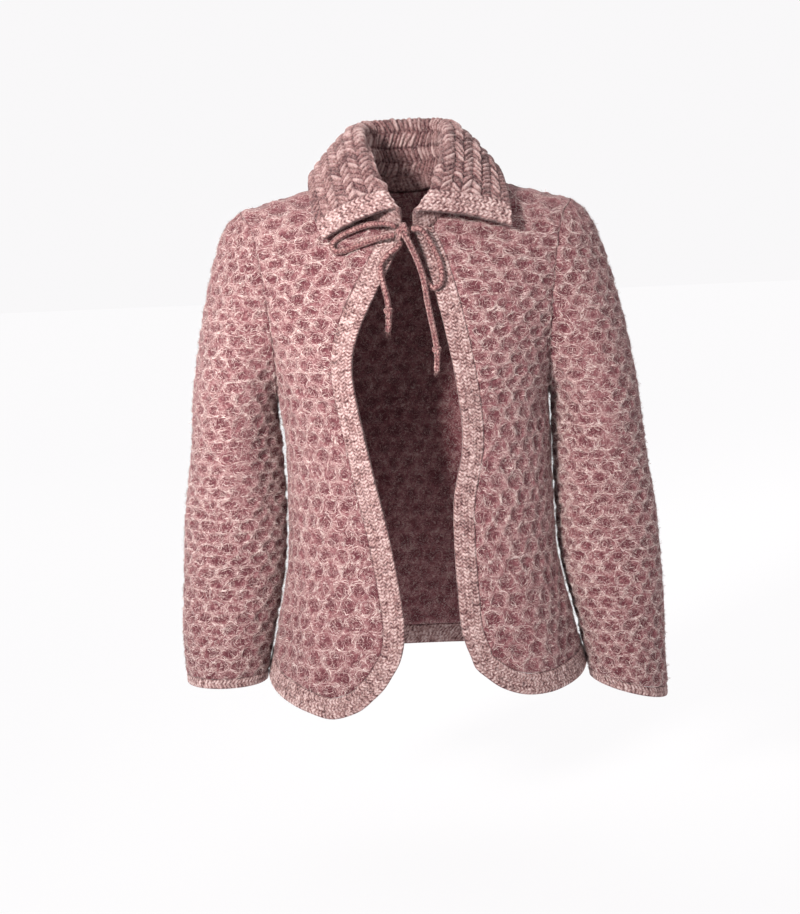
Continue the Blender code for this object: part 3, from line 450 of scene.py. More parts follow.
# The bow's knot: a strand wrapped twice round the crossing of the loops, pulled tight
wraps = []
for lean, shift in ((0.35, -0.0028), (-0.25, 0.0032)):
    wrap = []
    for k in range(44):
        t = 2 * math.pi * k / 44
        rise = math.sin(t) * KNOT_HALF_HEIGHT
        wrap.append(Vector(KNOT_CENTRE)
                    + Vector((shift + lean * rise, math.cos(t) * KNOT_HALF_DEPTH, rise)))
    wraps.append((wrap, KNOT_STRAND, True))
heart = [Vector(KNOT_CENTRE) + Vector((x, 0, z)) for x, z in
         ((-0.0078, 0.0025), (-0.0045, 0.0012), (0.0, 0.0), (0.0045, -0.0008), (0.0078, -0.0012))]
bow_knot = knitted("tie_knot_cord", wraps + [(even_curve(heart, 18), 2 * KNOT_STRAND, False)], "tie_knot")

for side, route, with_pieces in (("right", RIGHT_LOOP, [bow_knot]), ("left", LEFT_LOOP, [])):
    tie_cord(side + "_tie_loop_cord", cord_steps(route), (side + "_tie_loop",))

# Fronts: two flat panels knitted in a honeycomb pattern, whose pale mohair ridges ring dark hollows about
# 20 mm apart. They are sewn to the back at the side and shoulder seams. Fronts and back lie on one body
# form, which is given by the same sections as in the solids.
SHOULDER_HALF = 0.190       # centre to the shoulder point, where the sleeve is set in
NECK_HALF = 0.062           # centre to the neck end of the shoulder seam
UNDERARM_Z = -0.235
NECK_FRONT_LEVEL = 0.75     # height of the front neck point, as a share of the armhole's height
NECK_BACK_LEVEL = 0.885
KNIT_WALL = 0.0036          # honeycomb knit of a thick mohair yarn
BAND_WALL = 0.0040
BAND_WIDTH = 0.024
BAND_RIBS = 3
SEAM_GAP = 0.0003
SECTION_POWER = 2.3         # roundness of the body's level sections, 2 is an ellipse
FRONT_DOME_POWER = 2.0      # how the chest leans back to the shoulder seam
BACK_DOME_POWER = 2.8
SHOULDER_TOP = 0.031        # the shoulder line: where its flanks would meet, their slope, and how round it is
SHOULDER_SLOPE = 0.275
SHOULDER_ROUNDING = 0.03
ARMHOLE_FRONT = 0.062       # how far the armhole reaches before the side seam
ARMHOLE_BACK = 0.052
ARMHOLE_TOP = 0.985         # level from which the armhole's reach stays as it is, up to the shoulder seam
ARMHOLE_MOST = 0.93         # most of the form's depth that the armhole may reach
ARMHOLE_STEPS = 12
NECK_ROW = 8                # the armhole step that is level with the front neck point
LOWER_ROWS = 13
FRONT_COLUMNS = 8
BACK_NECK_COLUMNS = 3       # columns of the back from its middle to the neck point
BACK_SIDE_COLUMNS = 4


def named(names, *rows):
    """Rows of a table, whose values go by names."""
    return [dict(zip(names.split(), row)) for row in rows]


BODY_SECTIONS = named(
    "z half_width front back",
    (-0.235, 0.155, 0.118, 0.094), (-0.290, 0.1525, 0.111, 0.088), (-0.358, 0.1525, 0.104, 0.088),
    (-0.430, 0.1560, 0.106, 0.098), (-0.478, 0.1650, 0.113, 0.108), (-0.526, 0.1760, 0.121, 0.116),
    (-0.600, 0.1940, 0.132, 0.126))
HIP_SHIFT = 0.0035          # the hips hang a little to the wearer's left
ARMHOLE = named("level x", (0.00, 0.1550), (0.20, 0.1555), (0.45, 0.1600), (0.75, 0.1690), (0.92, 0.1780),
                (1.00, SHOULDER_HALF))
RIGHT_EDGE = [              # x and z along the edge, from the neck down and round to the side seam
    (0.005, -0.042), (0.012, -0.066), (0.043, -0.122), (0.062, -0.162), (0.068, -0.198), (0.064, -0.236),
    (0.055, -0.305), (0.040, -0.379), (0.029, -0.450), (0.025, -0.492), (0.031, -0.528), (0.051, -0.560),
    (0.080, -0.585), (0.113, -0.595), (0.146, -0.587), (0.184, -0.556),
]
LEFT_EDGE = [
    (0.006, -0.042), (0.018, -0.079), (0.029, -0.118), (0.039, -0.165), (0.046, -0.205), (0.051, -0.248),
    (0.047, -0.298), (0.037, -0.345), (0.035, -0.395), (0.037, -0.455), (0.040, -0.500), (0.054, -0.541),
    (0.079, -0.563), (0.110, -0.576), (0.147, -0.577), (0.184, -0.560),
]
EDGE_CORNER = 11            # the place of an edge at its round lower corner
SIDE_ANGLE = math.pi / 2 - SEAM_GAP / 2 / 0.18      # half a gap short of the side seam's middle
BACK_HEM_DIP = 0.006        # how much lower the hem hangs in the middle of the back
FRONT, BACK = -1, 1
RIGHT, LEFT = -1, 1
CELL_WIDTH = 0.021          # one honeycomb cell across
CELL_HEIGHT = 0.0195        # one cell along the body
CELL_RISE = 0.0024          # height of the pale ridges over the hollows
CELL_UNEVEN = 0.08          # how far a cell's middle strays, as a share of the cell
KNIT_DRIFT = 0.0018         # how far the brushed yarn strays from the cells' outlines
BODY_GIRTH_STEP = 0.155     # metres of knit round the body for one radian of the form
CHEST_STRETCH = 1.45        # rows spread over the curve of the chest
LEFT_SHIFT = 0.004          # so that the cells of the two fronts don't mirror each other
SMOOTH_DEPTH = (-0.06, 0.04)    # from the armhole's lower part down, the knit is worn smooth at the sides
KNIT_STEP = 0.0022          # spacing of the panels' points
DRIFT_SIZE = 0.009
LUMP_SIZE = 0.0045          # lumps of the brushed yarn, and single loops in them
FINE_LUMP_SIZE = 0.0024
EDGE_REACH = 0.006          # how far from a piece's edges its relief is lower

# Soft folds of the body, given one by one: the fold's middle on the panel, its half length and half
# width, its height (below zero in a trough) and how much it leans
FOLD = "u v length width rise lean"
FRONT_FOLDS = named(
    FOLD, (0.215, -0.030, 0.060, 0.012, -0.0032, 0.35), (0.190, 0.020, 0.055, 0.014, -0.0022, 0.55),
    (0.120, -0.270, 0.085, 0.018, 0.0026, -0.10), (0.165, -0.290, 0.070, 0.016, -0.0024, 0.08),
    (0.205, -0.250, 0.080, 0.015, 0.0018, -0.15))
BACK_FOLDS = named(
    FOLD, (0.205, -0.040, 0.070, 0.013, -0.0030, 0.30), (-0.210, -0.055, 0.060, 0.014, -0.0026, -0.35),
    (0.080, -0.300, 0.090, 0.020, 0.0028, 0.10), (-0.060, -0.280, 0.110, 0.018, -0.0024, -0.05),
    (-0.150, -0.310, 0.070, 0.017, 0.0022, -0.12), (0.020, -0.060, 0.120, 0.022, -0.0020, 0.02))


def smooth_value(rows, key, column, at):
    """Value of a table's column at a place along its key, on a smooth curve through the rows."""
    ordered = sorted(rows, key=lambda row: row[key])
    places = [row[key] for row in ordered]
    values = [row[column] for row in ordered]
    at = min(max(at, places[0]), places[-1])
    index = max(i for i in range(len(places) - 1) if places[i] <= at)
    slopes = []
    for i in range(len(places)):
        before, after = max(i - 1, 0), min(i + 1, len(places) - 1)
        slopes.append((values[after] - values[before]) / (places[after] - places[before]))
    span = places[index + 1] - places[index]
    t = (at - places[index]) / span
    rise = values[index + 1] - values[index]
    start, end = slopes[index] * span, slopes[index + 1] * span
    return (values[index] + start * t + (3 * rise - 2 * start - end) * t ** 2
            + (start + end - 2 * rise) * t ** 3)


def unit_section(angle):
    """Point of the rounded unit section at an angle from the centre front (or centre back)."""
    radius = (abs(math.cos(angle)) ** SECTION_POWER + abs(math.sin(angle)) ** SECTION_POWER)
    radius **= -1 / SECTION_POWER
    return radius * math.sin(angle), radius * math.cos(angle)


def section_angle(share):
    """Angle at which the rounded section has this share of its half width."""
    share = min(max(share, 0.0), 1.0)
    return math.atan2(share, (1 - share ** SECTION_POWER) ** (1 / SECTION_POWER))


def shoulder_z(x):
    """Height of the shoulder line, which falls from the neck to the shoulder point."""
    return SHOULDER_TOP - SHOULDER_SLOPE * math.sqrt(x * x + SHOULDER_ROUNDING ** 2)


ARM_HEIGHT = shoulder_z(SHOULDER_HALF) - UNDERARM_Z


def armhole_level(step):
    """Height of one armhole step, from 0 at the underarm to 1 at the shoulder point."""
    return (1 - math.cos(math.pi * step / ARMHOLE_STEPS)) / 2


def dome(level, facing):
    """Depth left at a level of the chest or the upper back, as a share of its full depth."""
    power = FRONT_DOME_POWER if facing == FRONT else BACK_DOME_POWER
    return max(1 - level ** power, 0.0) ** (1 / power)


def body_size(v, facing):
    """Half width and depth of the body form at a height v from the underarm."""
    column = "front" if facing == FRONT else "back"
    if v <= 0:
        z = UNDERARM_Z + v
        return smooth_value(BODY_SECTIONS, "z", "half_width", z), \
            smooth_value(BODY_SECTIONS, "z", column, z)
    level = min(v / ARM_HEIGHT, 1.0)
    full_depth = smooth_value(BODY_SECTIONS, "z", column, UNDERARM_Z)
    reach = ARMHOLE_FRONT if facing == FRONT else ARMHOLE_BACK
    below_top = min(level, ARMHOLE_TOP)
    swing = math.sqrt(1 - (2 * below_top - 1) ** 2)
    share = min(reach * swing / (full_depth * dome(below_top, facing)), ARMHOLE_MOST)
    across = (1 - share ** SECTION_POWER) ** (1 / SECTION_POWER)
    half_width = smooth_value(ARMHOLE, "level", "x", level) / across
    return half_width, full_depth * dome(level, facing)


def body_point(angle, v, facing):
    """Point of the body form: angle from the centre front or back, v the height from the underarm."""
    half_width, depth = body_size(v, facing)
    across, along = unit_section(angle)
    x = half_width * across
    if v <= 0:
        z = UNDERARM_Z + v
    else:
        z = UNDERARM_Z + (shoulder_z(x) - UNDERARM_Z) * min(v / ARM_HEIGHT, 1.0)
    return Vector((x, facing * depth * along, z))


def body_normal(angle, v, facing):
    """Outward direction of the body form, level with the top of the shoulder at its seam."""
    step = 0.0008
    v = min(v, ARM_HEIGHT * 0.9995)
    along = body_point(angle + 0.004, v, facing) - body_point(angle - 0.004, v, facing)
    low, high = max(v - step, -0.36), min(v + step, ARM_HEIGHT * 0.9999)
    up = body_point(angle, high, facing) - body_point(angle, low, facing)
    normal = along.cross(up).normalized()
    return normal if facing == FRONT else -normal


def edge_place(x, z):
    """Angle and height on the front body form of a point known by its x and z."""
    v = z - UNDERARM_Z
    if v > 0:
        v = ARM_HEIGHT * v / (shoulder_z(x) - UNDERARM_Z)
    half_width, _ = body_size(v, FRONT)
    return Vector((section_angle(x / half_width), v, 0))


def moved_line(line, distance):
    """Line that runs beside another one on the front's form, at a distance."""
    step = 0.0006
    moved = []
    for i, place in enumerate(line):
        before, after = line[max(i - 1, 0)], line[min(i + 1, len(line) - 1)]
        here = body_point(place.x, place.y, FRONT)
        by_angle = (body_point(place.x + step, place.y, FRONT) - here) / step
        by_height = (body_point(place.x, place.y + step, FRONT) - here) / step
        tangent = body_point(after.x, after.y, FRONT) - body_point(before.x, before.y, FRONT)
        normal = by_angle.cross(by_height).normalized()
        aside = normal.cross(tangent).normalized() * distance
        aa, ah, hh = by_angle.dot(by_angle), by_angle.dot(by_height), by_height.dot(by_height)
        ra, rh = aside.dot(by_angle), aside.dot(by_height)
        size = aa * hh - ah * ah
        moved.append(place + Vector(((ra * hh - rh * ah) / size, (rh * aa - ra * ah) / size, 0)))
    return moved


def thinned(points):
    """Every twentieth point of a fine line, with its last point."""
    return points[:-1:20] + [points[-1]]


def front_lines(edge):
    """Edge line and band seam of one front, as places on the body form, and the corner's station."""
    places = [edge_place(x, z) for x, z in edge]
    places[-1].x = SIDE_ANGLE
    scale = Vector((0.13, 1, 0))        # metres for one radian of the form, so that steps come out even
    flat = [Vector((p.x * scale.x, p.y * scale.y, 0)) for p in places]
    start = NECK_FRONT_LEVEL * ARM_HEIGHT
    fine = [spline_point(flat[:EDGE_CORNER + 1], i / 600) for i in range(601)]
    upper = []
    for step in range(NECK_ROW, 0, -1):
        height = armhole_level(step) * ARM_HEIGHT
        upper.append(min(fine, key=lambda p: abs(p.y - height)) if step < NECK_ROW else fine[0])
    upper[0].y = start
    down = even_curve(thinned([p for p in fine if p.y <= 0.0]), LOWER_ROWS, crowd=1.25)
    across = even_curve(flat[:EDGE_CORNER - 1:-1], FRONT_COLUMNS, crowd=1.25)
    line = upper + down + across[-2::-1]
    line = [Vector((p.x / scale.x, p.y / scale.y, 0)) for p in line]
    seam = moved_line(line, BAND_WIDTH)
    seam[0].y = start
    seam[-1].x = line[-1].x
    return line, seam, len(upper) + LOWER_ROWS


def neck_x(level, neck_point):
    """Distance of the front neckline from the centre, from the neck point out to the shoulder."""
    half_width, _ = body_size(NECK_FRONT_LEVEL * ARM_HEIGHT, FRONT)
    start = half_width * unit_section(neck_point.x)[0]
    share = (level - NECK_FRONT_LEVEL) / (1 - NECK_FRONT_LEVEL)
    return start + (NECK_HALF - start) * math.sin(share * math.pi / 2) ** 0.9 if share > 0 else start


def leave_direction(point):
    """Direction in which the sleeve leaves the armhole: outward below, over the shoulder above."""
    height = min(max((point.z - UNDERARM_Z) / ARM_HEIGHT, 0.0), 1.0)
    return Vector((1, 0, -0.15 - 0.45 * math.sin(math.pi * height) - 0.10 * height)).normalized()


def on_body(rows, facing):
    """Points and outward directions of rows of places on the body form."""
    return ([[body_point(p.x, p.y, facing) for p in row] for row in rows],
            [[body_normal(p.x, p.y, facing) for p in row] for row in rows])


def trimmed_rims(middle, normals, sewn, facing):
    """Level a panel's shoulder seam where it is sewn, turn its rim at the armhole so that panel and
    sleeve meet on a mitre, and give the armhole's points and directions."""
    for point, normal, level in zip(middle[-1], normals[-1], sewn):
        point.y += facing * SEAM_GAP / 2
        if level:
            normal.y = 0
            normal.normalize()
    armhole = [row[-1] for row in middle[LOWER_ROWS:]]
    ways = []
    for k, (point, row) in enumerate(zip(armhole, normals[LOWER_ROWS:])):
        if k in (0, len(armhole) - 1):
            tangent = Vector((0, facing if k == 0 else -facing, 0))
        else:
            tangent = armhole[k + 1] - armhole[k - 1]
        sleeve_normal = leave_direction(point).cross(tangent).normalized()
        if facing == BACK:
            sleeve_normal.negate()
        row[-1] = (row[-1] + sleeve_normal) / (1 + row[-1].dot(sleeve_normal))
        ways.append(row[-1])
    return armhole, ways


def mirrored(point, side):
    """Point on the wearer's right or left."""
    return Vector((side * point.x, point.y, point.z))


def curve_through(values, places, ring=False):
    """Values at places along the first axis, given as row numbers, on smooth curves through the rows."""
    count = len(values)
    index = np.minimum(places.astype(int), count - (1 if ring else 2))
    t = (places - index).reshape((-1,) + (1,) * (values.ndim - 1))
    if ring:
        return spline(*(values[(index + k) % count] for k in (-1, 0, 1, 2)), t)
    longer = lengthened(values)
    return spline(*(longer[index + k] for k in (0, 1, 2, 3)), t)


def even_rows(values, spacing, ring=False):
    """Places along the first axis that lie evenly on the cloth, an even number of steps of them."""
    points = values[..., :3]
    steps = np.linalg.norm(np.roll(points, -1, 0) - points if ring else points[1:] - points[:-1], axis=-1)
    reach = running(steps.mean(axis=1))
    count = 2 * round(reach[-1] / spacing / 2)
    return np.interp(np.linspace(0, reach[-1], count + 1), reach, np.arange(len(reach)))


def fine_grid(values, spacing, ring=False):
    """The cloth's points, directions and pattern places on a fine even grid."""
    across = np.swapaxes(curve_through(values, even_rows(values, spacing)), 0, 1)
    if ring:
        across = across[:-1]
    return np.swapaxes(curve_through(across, even_rows(across, spacing, ring), ring), 0, 1)


def rim_faces(mesh, outer, inner):
    """Faces that join an outer edge to an inner edge with half as many steps."""
    for k in range(len(inner) - 1):
        a, b, c = outer[2 * k:2 * k + 3]
        d, e = inner[k:k + 2]
        for corners in ((a, b, d), (b, e, d), (b, c, e)):
            mesh.faces.new(corners)


def cloth_wall(name, points, ways, raised, rise, wall, cloth, ring=False):
    """Closed thin cloth: a fine knitted outside and a plainer inside, joined along its edges."""
    mesh = bmesh.new()
    outer = moved_grid(mesh, points + ways * (wall / 2 + rise)[..., None], raised)
    inner = moved_grid(mesh, (points - ways * (wall / 2))[::2, ::2], raised[::2, ::2])
    rim_faces(mesh, outer[0], inner[0])
    rim_faces(mesh, outer[-1], inner[-1])
    if ring:
        wrap = [row[c] for side in (outer, inner) for row in side for c in (0, -1)]
        bmesh.ops.remove_doubles(mesh, verts=wrap, dist=1e-6)
    else:
        for c in (0, -1):
            rim_faces(mesh, [row[c] for row in outer], [row[c] for row in inner])
    return finished(name, mesh, cloth)


def smooth_share(value, low, high):
    """0 below the low value, 1 above the high one, with a soft step between."""
    share = np.clip((value - low) / (high - low), 0, 1)
    return share * share * (3 - 2 * share)


def cell_strays(seed):
    """How far the middle of each cell strays, across and up, and its tone."""
    return np.random.default_rng(seed).uniform(-1, 1, (64, 64, 3))


def honeycomb(u, v, height, seed, wrap=64):
    """Staggered cells: how raised the knit is, from 0 in a hollow to 1 on a ridge, and its tone."""
    strays = cell_strays(seed)
    row = np.floor(v / height).astype(int)
    nearest = second = np.full(u.shape, 9.0)
    tone = np.zeros(u.shape)
    for down in (-1, 0, 1, 2):
        j = row + down
        shift = 0.5 * (j % 2)
        column = np.floor(u / CELL_WIDTH - shift).astype(int)
        for along in (-1, 0, 1, 2):
            i = column + along
            stray = strays[(i % wrap) % 64, j % 64]
            across = u / CELL_WIDTH - (i + shift + CELL_UNEVEN * stray[..., 0])
            up = v / height - (j + CELL_UNEVEN * stray[..., 1])
            away = np.hypot(across, up * 0.93)
            tone = np.where(away < nearest, stray[..., 2], tone)
            second = np.where(away < nearest, nearest, np.minimum(second, away))
            nearest = np.minimum(nearest, away)
    net = 1 - smooth_share(second - nearest, 0.04, 0.62)
    return net + (1 - net) * np.clip(0.02 + 0.28 * tone, 0, 1), tone


def waviness(u, v, seed):
    """Slow unevenness of hand knitting, between about -1 and 1, from a few crossing waves."""
    draws = np.random.default_rng(seed)
    total = np.zeros(u.shape)
    for _ in range(6):
        angle, phase = draws.uniform(0, 2 * math.pi, 2)
        wave = draws.uniform(0.03, 0.11)
        total += np.sin(2 * math.pi * (u * math.cos(angle) + v * math.sin(angle)) / wave + phase)
    return total / 3


def tufts(u, v, size, seed):
    """Soft random unevenness between -1 and 1, whose bumps have the given size."""
    draws = np.random.default_rng(seed).uniform(-1, 1, (128, 128))
    across, up = u / size, v / size
    i, j = np.floor(across).astype(int), np.floor(up).astype(int)
    a, b = smooth_share(across - i, 0, 1), smooth_share(up - j, 0, 1)
    low = draws[i % 128, j % 128] * (1 - a) + draws[(i + 1) % 128, j % 128] * a
    high = draws[i % 128, (j + 1) % 128] * (1 - a) + draws[(i + 1) % 128, (j + 1) % 128] * a
    return low * (1 - b) + high * b


def folds_at(folds, u, v):
    """Height of the soft folds at places on a panel."""
    total = np.zeros(u.shape)
    for fold in folds:
        up = v - fold["v"]
        aside = u - fold["u"] - up * fold["lean"]
        total += fold["rise"] * np.exp(-(up / fold["length"]) ** 2 - (aside / fold["width"]) ** 2)
    return total


def edge_fade(shape, spacing, ring=False):
    """1 inside a piece and less towards its edges, over a short reach."""
    rows, columns = (np.minimum(np.arange(n), n - 1 - np.arange(n)) * spacing / EDGE_REACH for n in shape)
    fade = np.clip(rows, 0, 1)[:, None] * (1 if ring else np.clip(columns, 0, 1)[None, :])
    return np.sqrt(fade) + np.zeros(shape)


def honeycomb_panel(name, node, fine, u, v, height, seed, folds_rise, smoothness, ring=False, wrap=64):
    """One honeycomb panel on its fine grid, and the pale hairs that lie on it."""
    drift = [KNIT_DRIFT * tufts(u, v, DRIFT_SIZE, seed + k) for k in (1, 2)]
    net, tone = honeycomb(u + drift[0], v + drift[1], height, seed, wrap)
    uneven = waviness(u, v, seed)
    lumps, fine_lumps = tufts(u, v, LUMP_SIZE, seed + 3), tufts(u, v, FINE_LUMP_SIZE, seed + 4)
    fade = edge_fade(u.shape, KNIT_STEP, ring)
    # Form in metres, then how raised each place is on the wool's scale, from 0 in a hollow to 1; the
    # wool paints the hollows darker, partly as the darker ground yarn and partly as painted shade, and
    # lumps and waves that stand up get a painted highlight
    relief = CELL_RISE * (1 - 0.75 * smoothness) * (net ** 0.9) * (0.35 + 0.65 * fade)
    rise = relief + (folds_rise + 0.00055 * lumps + 0.00042 * fine_lumps + 0.0004 * uneven) * fade
    raised = 0.09 + (0.44 + 0.06 * tone) * net + 0.15 * lumps + 0.16 * fine_lumps + 0.05 * uneven
    raised = raised * (1 - 0.5 * smoothness) + 0.5 * smoothness * 0.60
    if ring:
        rise[:, -1], raised[:, -1] = rise[:, 0], raised[:, 0]
    points, ways = fine[..., :3], fine[..., 3:6]
    panel = cloth_wall(name, points, ways, raised, rise, KNIT_WALL, honeycomb_wool, ring)
    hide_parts(node)
    hairs = mohair(name + "_mohair", points + ways * (KNIT_WALL / 2 + rise)[..., None], ways, u, v,
                   height, seed, smoothness, wrap * CELL_WIDTH if ring else None)
    return panel, hairs


# Mohair hairs: pale fibres of the yarn that arch round the hollows, lie tangled on the ridges between
# them, and stand off the cloth as a thin halo. Each is a narrow tapered strip.
HAIR_POINTS = 5
HAIR_HALF_WIDTH = 0.00026
HAIR_TAPER = np.array([0.45, 0.9, 1.0, 0.9, 0.4])[None, :, None]
ARCS_PER_CELL = 9
TANGLED_PER_CELL = 9
HALO_PER_CELL = 3
OFF_PANEL = 0.0022          # a hair's point this far from the panel's points is past its edge
LONGEST_STEP = 0.008        # a hair with a longer step spans a seam
SMOOTH_LOSS = 0.25          # share of the hairs that is worn off where the knit is smooth


def pattern_slopes(points, u, v, girth):
    """How the cloth's points move with the pattern's two places."""
    down, along = (np.gradient(points, axis=axis) for axis in (0, 1))
    turns = [np.gradient(np.unwrap(u, period=girth, axis=axis) if girth else u, axis=axis)
             for axis in (0, 1)]
    climbs = [np.gradient(v, axis=axis) for axis in (0, 1)]
    scale = turns[1] * climbs[0] - turns[0] * climbs[1]
    scale = np.where(np.abs(scale) < 1e-9, 1e-9, scale)
    by_u = (along * climbs[0][..., None] - down * climbs[1][..., None]) / scale[..., None]
    by_v = (down * turns[1][..., None] - along * turns[0][..., None]) / scale[..., None]
    return by_u, by_v


def compass(angle):
    """Unit way at an angle on the knit, and the way square to it."""
    return np.array([[math.cos(angle), math.sin(angle)], [-math.sin(angle), math.cos(angle)]])


def mohair(name, points, ways, u, v, height, seed, smoothness, girth):
    """Pale hairs on one panel, as one joined mesh worked out with arrays."""
    draws = np.random.default_rng(seed + 100)
    by_u, by_v = (a.reshape(-1, 3) for a in pattern_slopes(points, u, v, girth))
    flat_points, flat_ways = points.reshape(-1, 3), ways.reshape(-1, 3)
    flat_ways = flat_ways / np.linalg.norm(flat_ways, axis=1)[:, None]
    tree = KDTree(u.size)
    for k, (a, b) in enumerate(zip(u.ravel(), v.ravel())):
        tree.insert((a, b, 0), k)
    tree.balance()
    strays = cell_strays(seed)
    places, lifts = [], []
    share = np.linspace(0, 1, HAIR_POINTS)
    arch = np.sin(math.pi * share)
    size = np.array([CELL_WIDTH, height])
    wrap = round(girth / CELL_WIDTH) if girth else 64
    for j in range(math.floor(v.min() / height) - 1, math.ceil(v.max() / height) + 2):
        for i in range(math.floor(u.min() / CELL_WIDTH) - 1, math.ceil(u.max() / CELL_WIDTH) + 2):
            stray = strays[(i % wrap) % 64, j % 64]
            middle = np.array([(i + 0.5 * (j % 2) + CELL_UNEVEN * stray[0]) * CELL_WIDTH,
                               (j + CELL_UNEVEN * stray[1]) * height])
            # Arcs round the hollow, tangled hairs on its ridge, and the halo that stands off
            for _ in range(ARCS_PER_CELL):
                start, sweep = draws.uniform(0, 2 * math.pi), draws.uniform(0.6, 1.5)
                radius = draws.uniform(0.34, 0.62) + draws.normal(0, 0.03, HAIR_POINTS)
                angle = start + sweep * share
                places.append(middle + np.stack([np.cos(angle), np.sin(angle)], -1) * size
                              * radius[:, None])
                lifts.append(0.0004 + 0.0011 * draws.uniform(0, 1) * arch)
            for _ in range(TANGLED_PER_CELL):
                turn, away = draws.uniform(0, 2 * math.pi), draws.uniform(0.08, 0.5) ** 0.5 * 0.80
                angle, reach = draws.uniform(0, math.pi), draws.uniform(0.0016, 0.0042)
                curled = np.stack([(share - 0.5) * reach * 2, arch * draws.normal(0, 0.0009)], -1)
                places.append(middle + size * away * compass(turn)[0] + curled @ compass(angle)
                              + draws.normal(0, 0.00025, (HAIR_POINTS, 2)))
                lifts.append(0.0003 + 0.0010 * draws.uniform(0, 1) * arch)
            for _ in range(HALO_PER_CELL):
                angle, reach = draws.uniform(0, 2 * math.pi), draws.uniform(0.003, 0.008)
                bent = np.stack([share * reach, share ** 2 * draws.normal(0, 0.0012)], -1)
                places.append(middle + size * draws.uniform(-0.5, 0.5, 2) + bent @ compass(angle))
                lifts.append(0.0003 + draws.uniform(0.0012, 0.0038) * share)
    places, lifts = np.array(places).reshape(-1, 2), np.array(lifts).reshape(-1, 1)
    if girth:
        places[:, 0] %= girth
    found = np.array([tree.find((a, b, 0))[1:] for a, b in places])
    index, far = found[:, 0].astype(int), found[:, 1].reshape(-1, HAIR_POINTS)
    offset = places - np.stack([u.ravel()[index], v.ravel()[index]], -1)
    spots = flat_points[index] + by_u[index] * offset[:, :1] + by_v[index] * offset[:, 1:]
    spots = (spots + flat_ways[index] * lifts).reshape(-1, HAIR_POINTS, 3)
    aside = np.cross(np.gradient(spots, axis=1), flat_ways[index].reshape(spots.shape))
    length = np.linalg.norm(aside, axis=-1, keepdims=True)
    aside = aside / np.maximum(length, 1e-9) * HAIR_HALF_WIDTH * HAIR_TAPER
    kept = (far < OFF_PANEL).all(axis=1)
    kept &= np.linalg.norm(np.diff(spots, axis=1), axis=-1).max(axis=1) < LONGEST_STEP
    lost = SMOOTH_LOSS * smoothness.ravel()[index].reshape(-1, HAIR_POINTS)[:, HAIR_POINTS // 2]
    kept &= draws.uniform(0, 1, len(spots)) > lost
    spots, aside = spots[kept], aside[kept]
    corners = np.stack([spots - aside, spots + aside], 2).reshape(-1, 3)
    first = np.arange(len(spots))[:, None] * 2 * HAIR_POINTS + np.arange(HAIR_POINTS - 1)[None] * 2
    faces = np.stack([first, first + 1, first + 3, first + 2], -1).reshape(-1, 4)
    data = bpy.data.meshes.new(name)
    data.from_pydata(corners, [], faces.tolist())
    return worn(name, data, pale_mohair)


def mohair_fibre(name, dark, pale):
    """Kid mohair: smooth bright hairs that let some light through, so that they look paler than wool."""
    fibre, tree, surface = new_material(name)
    where = add_node(tree, "ShaderNodeTexCoord").outputs["Object"]
    tones = mapped(tree, noise(tree, where, 260.0, 2.0), 0.35, 0.65)
    fill(tree, surface, {"Base Color": mixed(tree, tones, linear(dark), linear(pale)), "Roughness": 0.6,
                         "Specular IOR Level": 0.3, "Sheen Weight": 0.2})
    return fibre


honeycomb_wool = wool("brushed honeycomb knit of mohair and wool", "552930", "7b4e52", "a88987", "c9b3ae",
                      0.55)
pale_mohair = mohair_fibre("pale kid mohair hairs", "8e6a69", "d6c3bd")


def as_values(middle, normals, places=None):
    """Points, directions and pattern places of a coarse grid, as one array."""
    rows = []
    for r, (line, ways) in enumerate(zip(middle, normals)):
        extra = [tuple(p)[:2] for p in places[r]] if places else [(0.0, 0.0)] * len(line)
        rows.append([tuple(p) + tuple(n) + e for p, n, e in zip(line, ways, extra)])
    return np.array(rows)


def body_pattern(fine):
    """Pattern places on the body form: round the body, and up it."""
    rise = fine[..., 7]
    return fine[..., 6] * BODY_GIRTH_STEP, np.where(rise > 0, rise * CHEST_STRETCH, rise)


def hung(fine, mirror):
    """The body's grid where it hangs: turned over for the wearer's right, and moved at the hips."""
    made = fine.copy()
    if mirror:
        made[..., [0, 3]] *= -1
    made[..., 0] += HIP_SHIFT * smooth_share(UNDERARM_Z - fine[..., 2], 0, 0.06)
    return made


def strip_values(line, seam, facing):
    """Points of the band between an edge line and the seam that joins it to a panel."""
    steps = BAND_RIBS * 2
    rows = [[outer.lerp(inner, c / steps) for c in range(steps + 1)] for outer, inner in zip(line, seam)]
    return as_values(*on_body(rows, facing))


def armhole_place(level, half_width):
    """Place of the armhole at a level, on the form of the front or the back."""
    angle = section_angle(smooth_value(ARMHOLE, "level", "x", level) / half_width)
    return Vector((angle, level * ARM_HEIGHT, 0))


